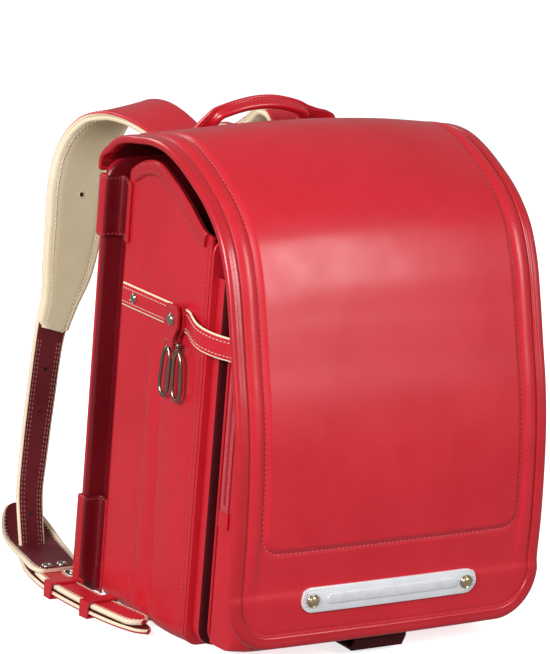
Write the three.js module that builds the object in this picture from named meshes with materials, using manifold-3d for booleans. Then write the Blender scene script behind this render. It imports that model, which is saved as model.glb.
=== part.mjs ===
// School satchel in smooth red leather, worn on the back.
// Millimetres, +Z up. X is the width, -Y is the flap's front, +Y is the wearer's side.
// The origin is on the floor, under the middle of the body.

import * as THREE from 'three';
import Module from 'manifold-3d';
import { mergeVertices } from 'three/addons/utils/BufferGeometryUtils.js';

const wasm = await Module();
wasm.setup();

// Clearances between sewn pieces
const gap = 0.3;
const slack = 0.5;

// Main compartment
const bodyWidth = 239.4;
const bodyDepth = 127.2;
const bodyHeight = 320;
const frontWallHeight = 284;
const wall = 2.4;
const bodyCorner = 11;
const gutterDepth = 8;
const gutterWidth = 21;
const trimWidth = 9;
const trimThickness = 1.7;

// Back board and its flange
const boardThickness = 7;
const boardHeight = bodyHeight - 9;
const flangeReach = 6.3;
const boardEdge = 2.2;
const boardLowCorner = 7;
const boardHighCorner = 16;
const padThickness = 8;
const padMargin = 28;
const padCorner = 22;

// Reinforcing sleeves on the flange
const sleeveThickness = 1.5;
const sleeveBack = 9;
const sleeveTuck = 0.7;
const topSleeveLength = 43;
const topSleeveTop = boardHeight - 11;
const bottomSleeveLength = 70;

// Middle compartment and front pocket
const middleWidth = 230;
const middleDepth = 17;
const middleHeight = 258;
const middleBottom = 2.4;
const middleWall = 1.8;
const middleFold = 11;
const middlePlate = 2.2;
const middlePlateInset = 1;
const middleCorner = 14;
const pocketWidth = 226;
const pocketDepth = 38;
const pocketHeight = 236;
const pocketBottom = 9;
const pocketWall = 2;
const pocketCornerWidth = 22;
const zipWidth = 9;
const zipThickness = 1.4;
const zipEnd = 101;
const sliderSize = [3, 7, 11];
const pullSize = [1.4, 5, 22];

// Flap
const flapWidth = 256;
const flapThickness = 3;
const flapStandOff = 3;
const flapHeight = bodyHeight + 19;
const flapHem = 17;
const flapTailDrop = 9;
const flapCorner = 34;
const flapCrown = 9;
const bindingDepth = 7;
const bindingWall = 1.2;
const grooveAt = 9;
const ridgeEnd = 22;
const ridgeRise = 1.6;
const panelRise = 1.4;
const panelHem = 65;

// Reflector on the flap
const reflectorLength = 144;
const reflectorHeight = 17;
const reflectorThickness = 1.6;
const reflectorUp = 47.5;
const reflectorRivetRadius = 4.8;
const rivetRise = 2.2;

// Side band, hook tab and snap hook
const bandHeight = 16;
const bandThickness = 2;
const bandUp = 222;
const bandBow = 5.2;
const bandRivetRadius = 3.8;
const bandRivetRise = 1.8;
const tabWidth = 17;
const tabLength = 27;
const tabThickness = 1.8;
const tabRivetRadius = 4.2;
const barRadius = 1.1;
const barHalf = 6.6;
const knobRadius = 2.3;
const hookWire = 1.35;
const hookDrop = 34;
const hookLoopWidth = 10;
const hookLean = 2;

// Shoulder straps
const strapRoot = 50;
const strapStandOff = 7.3;
const strapReach = 111;
const strapCrest = 327;
const strapWidth = 48;
const strapThickness = 3.2;
const strapPad = 4.6;
const rightStrapSag = 20;
const padRows = 15;
const strapSteps = 2;

// Lower belts, which lie on the floor beside the body
const tailThickness = 4.2;
const tailWidth = 21;
const tailReach = 107;
const beltShift = 1.5;
const keeperThickness = 1.4;
const keeperLength = 9;
const leafThickness = 2.6;
const leafLength = 84;
const leafWidth = 44;
const leafRise = 25;
const slotMargin = 2;
const leafStandOff = 9;
const leafShift = 4;
const eyeletRadius = 4.2;
const ringWire = 1.4;
const ringReach = 11;
const anchorLeather = 1.8;
const anchorWidth = 16;
const anchorHeight = 26;
const anchorInset = 5;

// Handle
const handleSpan = 118;
const handleRise = 44;
const handleThickness = 10.5;
const handleDepth = 13;
const handleTabThickness = 3;
const handleLean = 10;
const bracketHeight = 26;
const bracketThickness = 3;
const bracketMargin = 2;
const bracketCorner = 5;

// Tongue under the flap
const tongueWidth = 42;
const tongueThickness = 2.2;
const tongueOverlap = 24;

// Places that follow from the sizes
const totalDepth = bodyDepth + wall + middleDepth + middlePlate + pocketDepth + 3 * gap
  + flapStandOff + flapThickness;
const backY = totalDepth / 2;
const bodyFront = backY - bodyDepth;
const wallFront = bodyFront - gap - wall;
const middleBack = wallFront - gap;
const middleFront = middleBack - middleDepth;
const plateFront = middleFront - gap - middlePlate;
const pocketBack = plateFront - gap;
const flapFront = -totalDepth / 2;
const boardFront = backY + gap;
const boardBack = boardFront + boardThickness;
const halfBody = bodyWidth / 2;
const strapSpread = halfBody + strapStandOff - strapRoot;
const halfBoard = halfBody + flangeReach;
const halfPocket = pocketWidth / 2;

const atDepth = (share) => backY - share * totalDepth;

const colours = {
  red: { color: 0xc4283a, roughness: 0.35, metalness: 0 },
  cream: { color: 0xd9c8a2, roughness: 0.6, metalness: 0 },
  maroon: { color: 0x5e151d, roughness: 0.5, metalness: 0 },
  steel: { color: 0xd8d8dc, roughness: 0.2, metalness: 1 },
  brass: { color: 0xc9b98a, roughness: 0.3, metalness: 1 },
  reflector: { color: 0xe8ebf0, roughness: 0.25, metalness: 0 },
  cloth: { color: 0xa81c2c, roughness: 0.8, metalness: 0 },
};

const bag = new THREE.Group();

function addPiece(name, geometry, colour, parent = bag) {
  const mesh = new THREE.Mesh(geometry, new THREE.MeshStandardMaterial(colours[colour]));
  mesh.name = name;
  parent.add(mesh);
  return mesh;
}

// Turns the faces of a closed indexed mesh outward
function faceOutward(geometry) {
  const position = geometry.attributes.position;
  const index = geometry.index.array;
  const corner = [new THREE.Vector3(), new THREE.Vector3(), new THREE.Vector3()];
  let volume = 0;
  for (let i = 0; i < index.length; i += 3) {
    corner.forEach((point, k) => point.fromBufferAttribute(position, index[i + k]));
    volume += corner[0].dot(corner[1].clone().cross(corner[2]));
  }
  if (volume < 0) {
    for (let i = 0; i < index.length; i += 3) {
      [index[i + 1], index[i + 2]] = [index[i + 2], index[i + 1]];
    }
  }
  return geometry;
}

// Triangles of a flat ring of points in space
function capTriangles(ring) {
  const normal = new THREE.Vector3();
  ring.forEach((point, i) => {
    normal.add(point.clone().cross(ring[(i + 1) % ring.length]));
  });
  normal.normalize();
  const helper = Math.abs(normal.x) < 0.9
    ? new THREE.Vector3(1, 0, 0)
    : new THREE.Vector3(0, 1, 0);
  const across = helper.cross(normal).normalize();
  const up = normal.clone().cross(across);
  const flat = ring.map((point) => new THREE.Vector2(point.dot(across), point.dot(up)));
  return THREE.ShapeUtils.triangulateShape(flat, []);
}

// A closed body through rings of points; a loop joins its last ring to its first
function loft(rings, loop = false) {
  const count = rings[0].length;
  const vertices = rings.flat().flatMap((point) => [point.x, point.y, point.z]);
  const index = [];
  const steps = loop ? rings.length : rings.length - 1;
  for (let i = 0; i < steps; i += 1) {
    const here = i * count;
    const next = ((i + 1) % rings.length) * count;
    for (let j = 0; j < count; j += 1) {
      const k = (j + 1) % count;
      index.push(here + j, here + k, next + k, here + j, next + k, next + j);
    }
  }
  if (!loop) {
    const last = (rings.length - 1) * count;
    capTriangles(rings[0]).forEach(([a, b, c]) => index.push(a, c, b));
    capTriangles(rings.at(-1)).forEach(([a, b, c]) => index.push(last + a, last + b, last + c));
  }
  const geometry = new THREE.BufferGeometry();
  geometry.setAttribute('position', new THREE.Float32BufferAttribute(vertices, 3));
  geometry.setIndex(index);
  return faceOutward(geometry);
}

// A prism: an outline of [u, v] pairs carried from one level to another
function prism(outline, from, to, place) {
  const ring = (level) => outline.map(([u, v]) => place(u, v, level));
  return loft([ring(from), ring(to)]);
}

const alongX = (u, v, level) => new THREE.Vector3(level, u, v);
const alongY = (u, v, level) => new THREE.Vector3(u, level, v);
const alongZ = (u, v, level) => new THREE.Vector3(u, v, level);

// A line of [u, v] points moved sideways, to its left where the distance is positive
function offsetLine(line, distance) {
  return line.map(([u, v], i) => {
    const [u0, v0] = line[Math.max(i - 1, 0)];
    const [u1, v1] = line[Math.min(i + 1, line.length - 1)];
    const before = new THREE.Vector2(u - u0, v - v0).normalize();
    const after = new THREE.Vector2(u1 - u, v1 - v).normalize();
    const along = before.clone().add(after).normalize();
    const reach = distance / Math.max(along.dot(i > 0 ? before : after), 0.5);
    return [u - along.y * reach, v + along.x * reach];
  });
}

// The outline of a sheet whose one face follows a line of [u, v] points
const thicken = (line, thickness) => [...line, ...offsetLine(line, thickness).reverse()];

// Points of an arc as [u, v] pairs, angles in degrees
function arc(u, v, radius, from, to, steps) {
  return Array.from({ length: steps + 1 }, (_, i) => {
    const angle = THREE.MathUtils.degToRad(from + ((to - from) * i) / steps);
    return [u + radius * Math.cos(angle), v + radius * Math.sin(angle)];
  });
}

// A rectangle with round corners, given by its half width, its bottom and its top
function roundedPanel(half, bottom, top, lowRadius, highRadius, steps = 4) {
  return [
    ...arc(half - lowRadius, bottom + lowRadius, lowRadius, -90, 0, steps),
    ...arc(half - highRadius, top - highRadius, highRadius, 0, 90, steps),
    ...arc(-half + highRadius, top - highRadius, highRadius, 90, 180, steps),
    ...arc(-half + lowRadius, bottom + lowRadius, lowRadius, 180, 270, steps),
  ];
}

function toSolid(geometry) {
  const bare = geometry.clone();
  bare.deleteAttribute('normal');
  bare.deleteAttribute('uv');
  const merged = mergeVertices(bare, 1e-4);
  return new wasm.Manifold(new wasm.Mesh({
    numProp: 3,
    vertProperties: new Float32Array(merged.attributes.position.array),
    triVerts: new Uint32Array(merged.index.array),
  }));
}

function toGeometry(solid) {
  const mesh = solid.getMesh();
  const geometry = new THREE.BufferGeometry();
  geometry.setAttribute('position', new THREE.BufferAttribute(mesh.vertProperties, 3));
  geometry.setIndex(new THREE.BufferAttribute(mesh.triVerts, 1));
  return geometry;
}

const cut = (geometry, ...tools) => toGeometry(
  tools.reduce((left, tool) => left.subtract(toSolid(tool)), toSolid(geometry)),
);
const common = (geometry, other) => toGeometry(toSolid(geometry).intersect(toSolid(other)));
const join = (geometry, ...others) => toGeometry(
  others.reduce((sum, other) => sum.add(toSolid(other)), toSolid(geometry)),
);

// Directions along a line of points in space
function tangents(points, loop = false) {
  const count = points.length;
  return points.map((point, i) => {
    const before = points[loop ? (i + count - 1) % count : Math.max(i - 1, 0)];
    const after = points[loop ? (i + 1) % count : Math.min(i + 1, count - 1)];
    return after.clone().sub(before).normalize();
  });
}

// More stations on a smooth line through the given ones
function refine(stations, steps) {
  const curve = new THREE.CatmullRomCurve3(stations.map(({ at }) => at), false, 'centripetal');
  const spans = stations.length - 1;
  return Array.from({ length: spans * steps + 1 }, (_, i) => {
    const span = Math.min(Math.floor(i / steps), spans - 1);
    const share = i / steps - span;
    const [a, b] = [stations[span], stations[span + 1]];
    return {
      at: curve.getPoint(i / (spans * steps)),
      across: a.across.clone().lerp(b.across, share).normalize(),
      width: THREE.MathUtils.lerp(a.width, b.width, share),
    };
  });
}

// A flat strap: each station has its place, its direction across and its width;
// the strap's middle is lifted off the line, and its thickness holds round bends
function ribbon(stations, thickness, lift = 0) {
  const along = tangents(stations.map((station) => station.at));
  return loft(stations.map((station, i) => {
    const face = station.across.clone().cross(along[i]).normalize();
    const across = along[i].clone().cross(face).normalize();
    const half = station.width / 2;
    const next = stations[Math.min(i, stations.length - 2) + 1].at.clone()
      .sub(stations[Math.min(i, stations.length - 2)].at).normalize();
    const mitre = 1 / Math.max(next.dot(along[i]), 0.8);
    // A layer under the line starts from the other edge, so that both layers twist alike
    const hand = lift < 0 ? -1 : 1;
    return [[-half, -1], [half, -1], [half, 1], [-half, 1]].map(([u, side]) => station.at.clone()
      .addScaledVector(across, hand * u)
      .addScaledVector(face, (lift + (side * thickness) / 2) * mitre));
  }));
}

// A round wire along points that lie in a plane with the given normal
function wire(points, radius, normal, sides = 6, loop = false) {
  const along = tangents(points, loop);
  return loft(points.map((point, i) => {
    const across = normal.clone().cross(along[i]).normalize();
    return arc(0, 0, radius, 0, 360 - 360 / sides, sides - 1).map(([u, v]) => point.clone()
      .addScaledVector(across, u)
      .addScaledVector(normal, v));
  }), loop);
}

// Smooth points through a short list, by arc length
function smooth(points, count, closed = false) {
  const curve = new THREE.CatmullRomCurve3(points, closed, 'centripetal');
  const list = curve.getSpacedPoints(count);
  return closed ? list.slice(0, -1) : list;
}

// A domed rivet head that stands on a plane; its axis is the given direction
function rivet(radius, height, direction) {
  const profile = [
    new THREE.Vector2(0, 0),
    new THREE.Vector2(radius, 0),
    new THREE.Vector2(radius, height * 0.3),
    new THREE.Vector2(radius * 0.75, height * 0.75),
    new THREE.Vector2(radius * 0.35, height * 0.96),
    new THREE.Vector2(0, height),
  ];
  const geometry = mergeBare(new THREE.LatheGeometry(profile, 12));
  geometry.applyQuaternion(new THREE.Quaternion().setFromUnitVectors(
    new THREE.Vector3(0, 1, 0),
    direction,
  ));
  return faceOutward(geometry);
}

function mergeBare(geometry) {
  geometry.deleteAttribute('normal');
  geometry.deleteAttribute('uv');
  return mergeVertices(geometry, 1e-4);
}

// The side view of the main compartment's opening, from the back forward:
// depth as a share of the body's depth, height as a share of the body's height
const archRows = [
  { depth: 0, height: 0.922 },
  { depth: 0.105, height: 0.945 },
  { depth: 0.18, height: 0.966 },
  { depth: 0.29, height: 0.99 },
  { depth: 0.44, height: 1 },
  { depth: 0.6, height: 0.975 },
  { depth: 0.765, height: 0.938 },
  { depth: 0.92, height: 0.896 },
  { depth: 1, height: 0.889 },
];
const archLine = archRows.map(({ depth, height }) => [
  backY - depth * bodyDepth,
  height * bodyHeight,
]);

// A trough of leather: two sides and a bottom, open at the top
function troughSection(half, bottom, top, thickness, radius) {
  const shell = (inset) => [
    [-half + inset, top],
    ...arc(-half + radius, bottom + radius, radius - inset, 180, 270, 4),
    ...arc(half - radius, bottom + radius, radius - inset, 270, 360, 4),
    [half - inset, top],
  ];
  return [...shell(0), ...shell(thickness).reverse()];
}

// The hollow beside the flange: distance from the back board as a share of its width,
// inset as a share of its depth
const gutterRows = [
  { away: 0, inset: 1 },
  { away: 0.35, inset: 0.9 },
  { away: 0.7, inset: 0.4 },
  { away: 1, inset: 0 },
];

function makeMainCompartment() {
  const rings = gutterRows.map(({ away, inset }) => troughSection(
    halfBody - inset * gutterDepth,
    0,
    bodyHeight + wall,
    wall,
    bodyCorner,
  ).map(([x, z]) => new THREE.Vector3(x, backY - away * gutterWidth, z)));
  rings.push(troughSection(halfBody, 0, bodyHeight + wall, wall, bodyCorner)
    .map(([x, z]) => new THREE.Vector3(x, bodyFront, z)));
  const profile = [[bodyFront - wall, -wall], [backY + wall, -wall],
    [backY + wall, archLine[0][1]], ...archLine, [bodyFront - wall, archLine.at(-1)[1]]];
  const gusset = common(loft(rings), prism(profile, -bodyWidth, bodyWidth, alongX));
  addPiece('main_gusset', gusset, 'red');

  const front = roundedPanel(halfBody, 0, frontWallHeight, bodyCorner, bodyCorner);
  addPiece('front_wall', prism(front, wallFront, wallFront + wall, alongY), 'red');
}

// Raised trim along the top edge of each side wall
function makeCollar(name, side) {
  const line = archLine.slice(2, -1);
  const outline = thicken([...line].reverse(), -trimWidth);
  const inner = side * (halfBody + gap);
  addPiece(name, prism(outline, inner, inner + side * trimThickness, alongX), 'red');
}

// A padded board with rounded edges, from one depth to another
function paddedBoard(half, bottom, top, lowRadius, highRadius, layers) {
  return loft(layers.map(({ y, inset }) => roundedPanel(
    half - inset,
    bottom + inset,
    top - inset,
    Math.max(lowRadius - inset, 1),
    Math.max(highRadius - inset, 1),
  ).map(([x, z]) => new THREE.Vector3(x, y, z))));
}

function makeBack() {
  addPiece('back_board', paddedBoard(halfBoard, 0, boardHeight, boardLowCorner, boardHighCorner, [
    { y: boardFront, inset: boardEdge },
    { y: boardFront + boardEdge, inset: 0 },
    { y: boardBack - boardEdge, inset: 0 },
    { y: boardBack, inset: boardEdge },
  ]), 'red');
  const padBack = boardBack + gap;
  const padTop = boardHeight - padMargin;
  // Layers of the padding: stand-off as a share of its thickness, inset as a share of its corner
  const layers = [
    { off: 0, inset: 0.09 },
    { off: 0.4, inset: 0 },
    { off: 0.8, inset: 0.18 },
    { off: 1, inset: 0.6 },
  ].map(({ off, inset }) => ({ y: padBack + off * padThickness, inset: inset * padCorner }));
  addPiece('back_pad', paddedBoard(
    halfBoard - padMargin,
    padMargin,
    padTop,
    padCorner,
    padCorner,
    layers,
  ), 'cream');
}

// A sleeve of leather that wraps the flange; the long one starts at the side wall,
// the short one in the gutter
function makeSleeve(name, side, bottom, top, skipped) {
  const clear = gap + sleeveThickness;
  const inGutter = ({ away, inset }) => [
    halfBody - inset * gutterDepth + clear,
    backY - away * gutterWidth,
  ];
  const line = [
    [halfBody + clear, backY - gutterWidth - clear],
    ...gutterRows.slice(1).reverse().map(inGutter),
    [halfBody - sleeveTuck * gutterDepth + clear, boardFront - clear],
    [halfBoard + gap, boardFront - clear],
    [halfBoard + clear, boardFront],
    [halfBoard + clear, boardBack],
    [halfBoard + gap - boardEdge, boardBack + clear],
    [halfBody - sleeveBack, boardBack + clear],
  ].slice(skipped);
  const outline = thicken(line, sleeveThickness).map(([x, y]) => [side * x, y]);
  addPiece(name, prism(outline, bottom, top, alongZ), 'red');
}

function makeMiddle() {
  // The gusset folds inward near its front edge
  const foldRows = [
    { away: 0, inset: 0 },
    { away: 0.5, inset: 0.05 },
    { away: 0.72, inset: 1 },
    { away: 1, inset: 0.55 },
  ];
  const rings = foldRows.map(({ away, inset }) => troughSection(
    middleWidth / 2 - inset * middleFold,
    middleBottom,
    middleHeight,
    middleWall,
    middleCorner,
  ).map(([x, z]) => new THREE.Vector3(x, middleBack - away * middleDepth, z)));
  addPiece('middle_gusset', loft(rings), 'red');
  const front = roundedPanel(
    middleWidth / 2 - middlePlateInset,
    middleBottom + 2 * middlePlateInset,
    middleHeight - 4 * middlePlateInset,
    middleCorner,
    middleCorner,
  );
  addPiece('middle_front', prism(front, plateFront, plateFront + middlePlate, alongY), 'red');
}

// The front pocket in side view: height as a share of the pocket's height above its bottom,
// depth as a share of the pocket's depth
const pocketRows = [
  { height: 0, depth: 0.86 },
  { height: 0.06, depth: 0.97 },
  { height: 0.42, depth: 0.96 },
  { height: 0.72, depth: 0.78 },
  { height: 0.88, depth: 0.58 },
  { height: 1, depth: 0.36 },
];
// The pocket's round corners: distance from the side as a share of the corner's width,
// depth and top as shares of those in the middle
const cornerRows = [
  { away: 0, depth: 0.72, top: 0.95 },
  { away: 0.2, depth: 0.84, top: 0.978 },
  { away: 0.5, depth: 0.95, top: 0.994 },
  { away: 1, depth: 1, top: 1 },
];
function pocketBody(inset, back) {
  const half = halfPocket - inset;
  const low = pocketBottom + inset;
  const outline = (corner) => {
    const high = corner.top * pocketHeight - inset;
    return [
      [back, low],
      ...pocketRows.map(({ height, depth }) => [
        pocketBack - depth * corner.depth * pocketDepth + inset,
        low + height * (high - low),
      ]),
      [back, high],
    ];
  };
  const left = cornerRows.map((corner) => ({ x: -half + corner.away * pocketCornerWidth, corner }));
  const right = [...left].reverse().map(({ x, corner }) => ({ x: -x, corner }));
  return loft([...left, ...right].map(({ x, corner }) => outline(corner)
    .map(([y, z]) => new THREE.Vector3(x, y, z))));
}

function makePocket() {
  const shell = cut(pocketBody(0, pocketBack), pocketBody(pocketWall, pocketBack + pocketWall));
  addPiece('front_pocket', shell, 'red');

  // The zipper runs up one side, over the top and down the other side
  const rise = cornerRows.map(({ away, top }) => [
    halfPocket - away * pocketCornerWidth,
    top * pocketHeight,
  ]);
  const right = [[halfPocket, zipEnd], ...rise];
  const whole = [...right, ...[...right].reverse().map(([x, z]) => [-x, z])];
  const middle = pocketBack - zipWidth * 0.85;
  const outline = thicken(offsetLine(whole, -gap), -zipThickness);
  const tape = prism(outline, middle - zipWidth / 2, middle + zipWidth / 2, alongY);
  addPiece('zip_tape', tape, 'cloth');

  const sliderX = halfPocket + 2 * gap + zipThickness;
  const slider = new THREE.BoxGeometry(...sliderSize);
  slider.translate(sliderX + sliderSize[0] / 2, middle, zipEnd + sliderSize[2]);
  const pull = new THREE.BoxGeometry(...pullSize);
  const overlap = 0.3 * pullSize[0];
  pull.translate(
    sliderX + sliderSize[0] + pullSize[0] / 2 - overlap,
    middle,
    zipEnd + sliderSize[2] - 0.65 * pullSize[2],
  );
  addPiece('zip_slider', join(slider, pull), 'steel');
}

// The flap in side view, at the middle of its thickness, from its sewn back edge forward:
// depth as a share of the whole depth, height as a share of the flap's height,
// crown as a share of the flap's rise across its width
const flapRows = [
  { depth: 0.05, height: 0.961, crown: 0.1 },
  { depth: 0.11, height: 0.972, crown: 0.3 },
  { depth: 0.19, height: 0.979, crown: 0.6 },
  { depth: 0.28, height: 0.985, crown: 0.9 },
  { depth: 0.37, height: 0.982, crown: 1 },
  { depth: 0.46, height: 0.966, crown: 1 },
  { depth: 0.56, height: 0.938, crown: 0.95 },
  { depth: 0.67, height: 0.898, crown: 0.8 },
  { depth: 0.76, height: 0.845, crown: 0.65 },
  { depth: 0.82, height: 0.778, crown: 0.5 },
  { depth: 0.866, height: 0.69, crown: 0.4 },
  { depth: 0.902, height: 0.61, crown: 0.36 },
  { depth: 0.938, height: 0.53, crown: 0.33 },
  { depth: 0.963, height: 0.45, crown: 0.3 },
  { depth: 0.978, height: 0.36, crown: 0.3 },
  { depth: 0.986, height: 0.26, crown: 0.3 },
  { depth: 0.986, height: 0.16, crown: 0.3 },
];

// The flap's line: its back edge is sewn to the board's back, near the top
const tailLine = boardBack + gap + flapThickness / 2;
const flapStart = [
  { y: tailLine, z: boardHeight - flapTailDrop, crown: 0, flat: true },
  { y: tailLine, z: boardHeight - 2, crown: 0, flat: true },
  { y: tailLine - 1.6, z: boardHeight + 3, crown: 0, flat: true },
  { y: tailLine - 6, z: boardHeight + gap + flapThickness / 2 + 4, crown: 0.03, flat: true },
];
const flapLine = [
  ...flapStart,
  ...flapRows.map(({ depth, height, crown }) => ({
    y: atDepth(depth),
    z: height * flapHeight,
    crown,
  })),
  ...[1, 0.72, 0.48, 0.28, 0.12, 0.03, 0].map((share) => ({
    y: flapFront + flapThickness / 2 + gap,
    z: flapHem + share * flapCorner,
    crown: 0.3,
  })),
];

// How far a height near the hem is inside the flap's round corner
function flapHalfAt(row, half = flapWidth / 2, corner = flapCorner) {
  const below = Math.max(flapHem + corner - row.z, 0);
  const inside = Math.min(below, corner);
  return row.y < 0 ? half - corner + Math.sqrt(Math.max(corner ** 2 - inside ** 2, 0)) : half;
}

const flapNormals = flapLine.map((row, i) => {
  const before = flapLine[Math.max(i - 1, 0)];
  const after = flapLine[Math.min(i + 1, flapLine.length - 1)];
  return new THREE.Vector2(after.z - before.z, before.y - after.y).normalize();
});

// Height of the sewn relief on the flap's outer face
function flapRelief(x, row) {
  if (row.flat) return 0;
  const fromSide = flapWidth / 2 - Math.abs(x);
  const fromHem = row.y < 0 ? row.z - flapHem : Infinity;
  const fromEdge = Math.min(fromSide, fromHem);
  if (fromEdge < grooveAt) return 0;
  const panelSide = fromSide - ridgeEnd;
  const panelFoot = fromHem - panelHem;
  const inPanel = Math.min(panelSide, panelFoot);
  if (inPanel > 3) return panelRise;
  const swell = Math.min((fromEdge - grooveAt) / 5, (ridgeEnd - fromSide) / 5, 1);
  return fromHem > panelHem * 0.4 ? ridgeRise * Math.max(swell, 0) : 0;
}

const flapColumns = [0, 8.5, 11, 15.5, 20, 22.5, 27].map((inward) => ({ inward }));

function flapPoint(row, normal, x, lift) {
  const share = x / (flapWidth / 2);
  const crown = flapCrown * row.crown * (1 - share ** 2);
  return new THREE.Vector3(
    x,
    row.y + normal.x * (lift + crown),
    row.z + normal.y * (lift + crown),
  );
}

function flapAcross(row) {
  const half = flapHalfAt(row) - bindingWall - gap;
  const edges = flapColumns.map(({ inward }) => half - (inward * half) / (flapWidth / 2));
  const positions = [...edges, half * 0.52, half * 0.27, 0];
  return [...positions, ...positions.slice(0, -1).reverse().map((x) => -x)];
}

function makeFlap() {
  const sheet = loft(flapLine.map((row, i) => {
    const across = flapAcross(row);
    const outer = across.map((x) => flapPoint(
      row,
      flapNormals[i],
      x,
      flapThickness / 2 + flapRelief(x, row),
    ));
    const inner = across.map((x) => flapPoint(row, flapNormals[i], x, -flapThickness / 2));
    return [...outer, ...inner.reverse()];
  }));
  addPiece('flap', sheet, 'red');
}

// The bound edge: a narrow channel of leather that closes round the flap's edge
function makeBinding() {
  const half = flapThickness / 2 + gap;
  const outerHalf = half + bindingWall;
  const section = [
    [-gap, half], [bindingDepth, half], [bindingDepth, outerHalf], [0, outerHalf],
    [-gap - bindingWall, half * 0.6], [-gap - bindingWall, -half * 0.6],
    [0, -outerHalf], [bindingDepth, -outerHalf], [bindingDepth, -half], [-gap, -half],
  ];
  const stations = [];
  const sideRows = flapLine.slice(3);
  const sideNormals = flapNormals.slice(3);
  sideRows.forEach((row, i) => {
    const edge = flapHalfAt(row) - bindingWall - gap;
    const corner = flapHem + flapCorner - row.z;
    const turned = row.y < 0 ? THREE.MathUtils.clamp(corner / flapCorner, 0, 1) : 0;
    const angle = Math.asin(turned);
    stations.push({ row, normal: sideNormals[i], x: edge, angle });
  });
  const ringAt = ({ row, normal, x, angle }, side) => section.map(([inward, lift]) => {
    const inX = x - inward * Math.cos(angle);
    const point = flapPoint(row, normal, side * inX, lift);
    point.z += inward * Math.sin(angle);
    return point;
  });
  const left = stations.map((station) => ringAt(station, -1));
  const right = stations.map((station) => ringAt(station, 1)).reverse();
  const last = flapLine.at(-1);
  const foot = [-0.7, 0, 0.7].map((share) => ringAt({
    row: last,
    normal: flapNormals.at(-1),
    x: Math.abs(share) * (flapWidth / 2 - flapCorner),
    angle: Math.PI / 2,
  }, Math.sign(share) || 1));
  addPiece('flap_binding', loft([...left, ...foot, ...right]), 'red');
}

// Depth of the flap's outer face at a height on its front
function flapFaceAt(z) {
  const front = flapLine.filter((row) => row.y < 0);
  const next = front.findIndex((row) => row.z <= z);
  const [above, below] = [front[next - 1], front[next]];
  const share = (above.z - z) / (above.z - below.z);
  const y = above.y + share * (below.y - above.y);
  const crown = flapCrown * (above.crown + share * (below.crown - above.crown));
  return y - flapThickness / 2 - crown;
}

function makeReflector() {
  const half = reflectorLength / 2;
  const radius = reflectorHeight / 2;
  const face = flapFaceAt(reflectorUp) - gap;
  const outline = [
    ...arc(half - radius, reflectorUp, radius, -90, 90, 8),
    ...arc(-half + radius, reflectorUp, radius, 90, 270, 8),
  ];
  addPiece('reflector_strip', prism(outline, face - reflectorThickness, face, alongY), 'reflector');
  [['left', -1], ['right', 1]].forEach(([word, side]) => {
    const head = addPiece(
      `reflector_rivet_${word}`,
      rivet(reflectorRivetRadius, rivetRise, new THREE.Vector3(0, -1, 0)),
      'brass',
    );
    head.position.set(side * (half - radius), face - reflectorThickness - gap, reflectorUp);
  });
}

// The side band in plan, from the back forward: depth below the back board's front as a share
// of the body's depth, stand-off from the side wall as a share of the band's bow,
// drop as a share of the band's height
const bandRows = [
  { depth: 0.18, off: 0, drop: 0 },
  { depth: 0.45, off: 0, drop: 0 },
  { depth: 0.7, off: 0, drop: 0 },
  { depth: 0.845, off: 0, drop: 0.03 },
  { depth: 0.91, off: 0.5, drop: 0.12 },
  { depth: 0.98, off: 0.9, drop: 0.25 },
  { depth: 1.06, off: 0.85, drop: 0.36 },
  { depth: 1.15, off: 0.15, drop: 0.45 },
  { depth: 1.21, off: -0.55, drop: 0.48 },
  { depth: 1.27, off: -0.93, drop: 0.48 },
];

function makeSideBand(word, side) {
  const stations = bandRows.map(({ depth, off, drop }) => ({
    at: new THREE.Vector3(
      side * (halfBody + gap + bandThickness / 2 + off * bandBow),
      backY - depth * bodyDepth,
      bandUp - drop * bandHeight,
    ),
    across: new THREE.Vector3(0, 0, 1),
    width: bandHeight,
  }));
  addPiece(`side_band_${word}`, ribbon(stations, bandThickness), 'red');
  const head = addPiece(
    `band_rivet_${word}`,
    rivet(bandRivetRadius, bandRivetRise, new THREE.Vector3(side, 0, 0)),
    'steel',
  );
  head.position.set(side * (halfBody + 2 * gap + bandThickness), backY - 0.3 * bodyDepth, bandUp);
}

const hookY = backY - 0.765 * bodyDepth;
const tabFace = halfBody + 2 * gap + bandThickness;
const foldRadius = barRadius + gap;
const barX = tabFace + tabThickness + foldRadius;
const barZ = bandUp + bandHeight * 0.62 - tabLength;

// A tab of folded leather with the hook's bar in its fold
function makeHookTab(word, side) {
  const top = bandUp + bandHeight * 0.62;
  const far = barX + foldRadius;
  const line = [
    [tabFace + tabThickness, top],
    ...arc(barX, barZ, foldRadius, 180, 360, 8),
    [far, top],
  ];
  const folded = thicken(line.map(([x, z]) => [side * x, z]), side * -tabThickness);
  const half = tabWidth / 2;
  const neck = barHalf - knobRadius - slack;
  const shape = [
    [-half, barZ + tabWidth * 0.75], [-neck, barZ + tabWidth * 0.25], [-neck, barZ - tabWidth],
    [neck, barZ - tabWidth], [neck, barZ + tabWidth * 0.25], [half, barZ + tabWidth * 0.75],
    [half, top - tabWidth * 0.3], [half * 0.7, top], [-half * 0.7, top],
    [-half, top - tabWidth * 0.3],
  ];
  const tab = common(
    prism(folded, -half, half, alongY),
    prism(shape, -bodyWidth, bodyWidth, alongX),
  );
  const mesh = addPiece(`hook_tab_${word}`, tab, 'red');
  mesh.position.y = hookY;
  const head = addPiece(
    `tab_rivet_${word}`,
    rivet(tabRivetRadius, rivetRise, new THREE.Vector3(side, 0, 0)),
    'steel',
  );
  head.position.set(side * (far + tabThickness + gap), hookY, bandUp);
}

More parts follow.
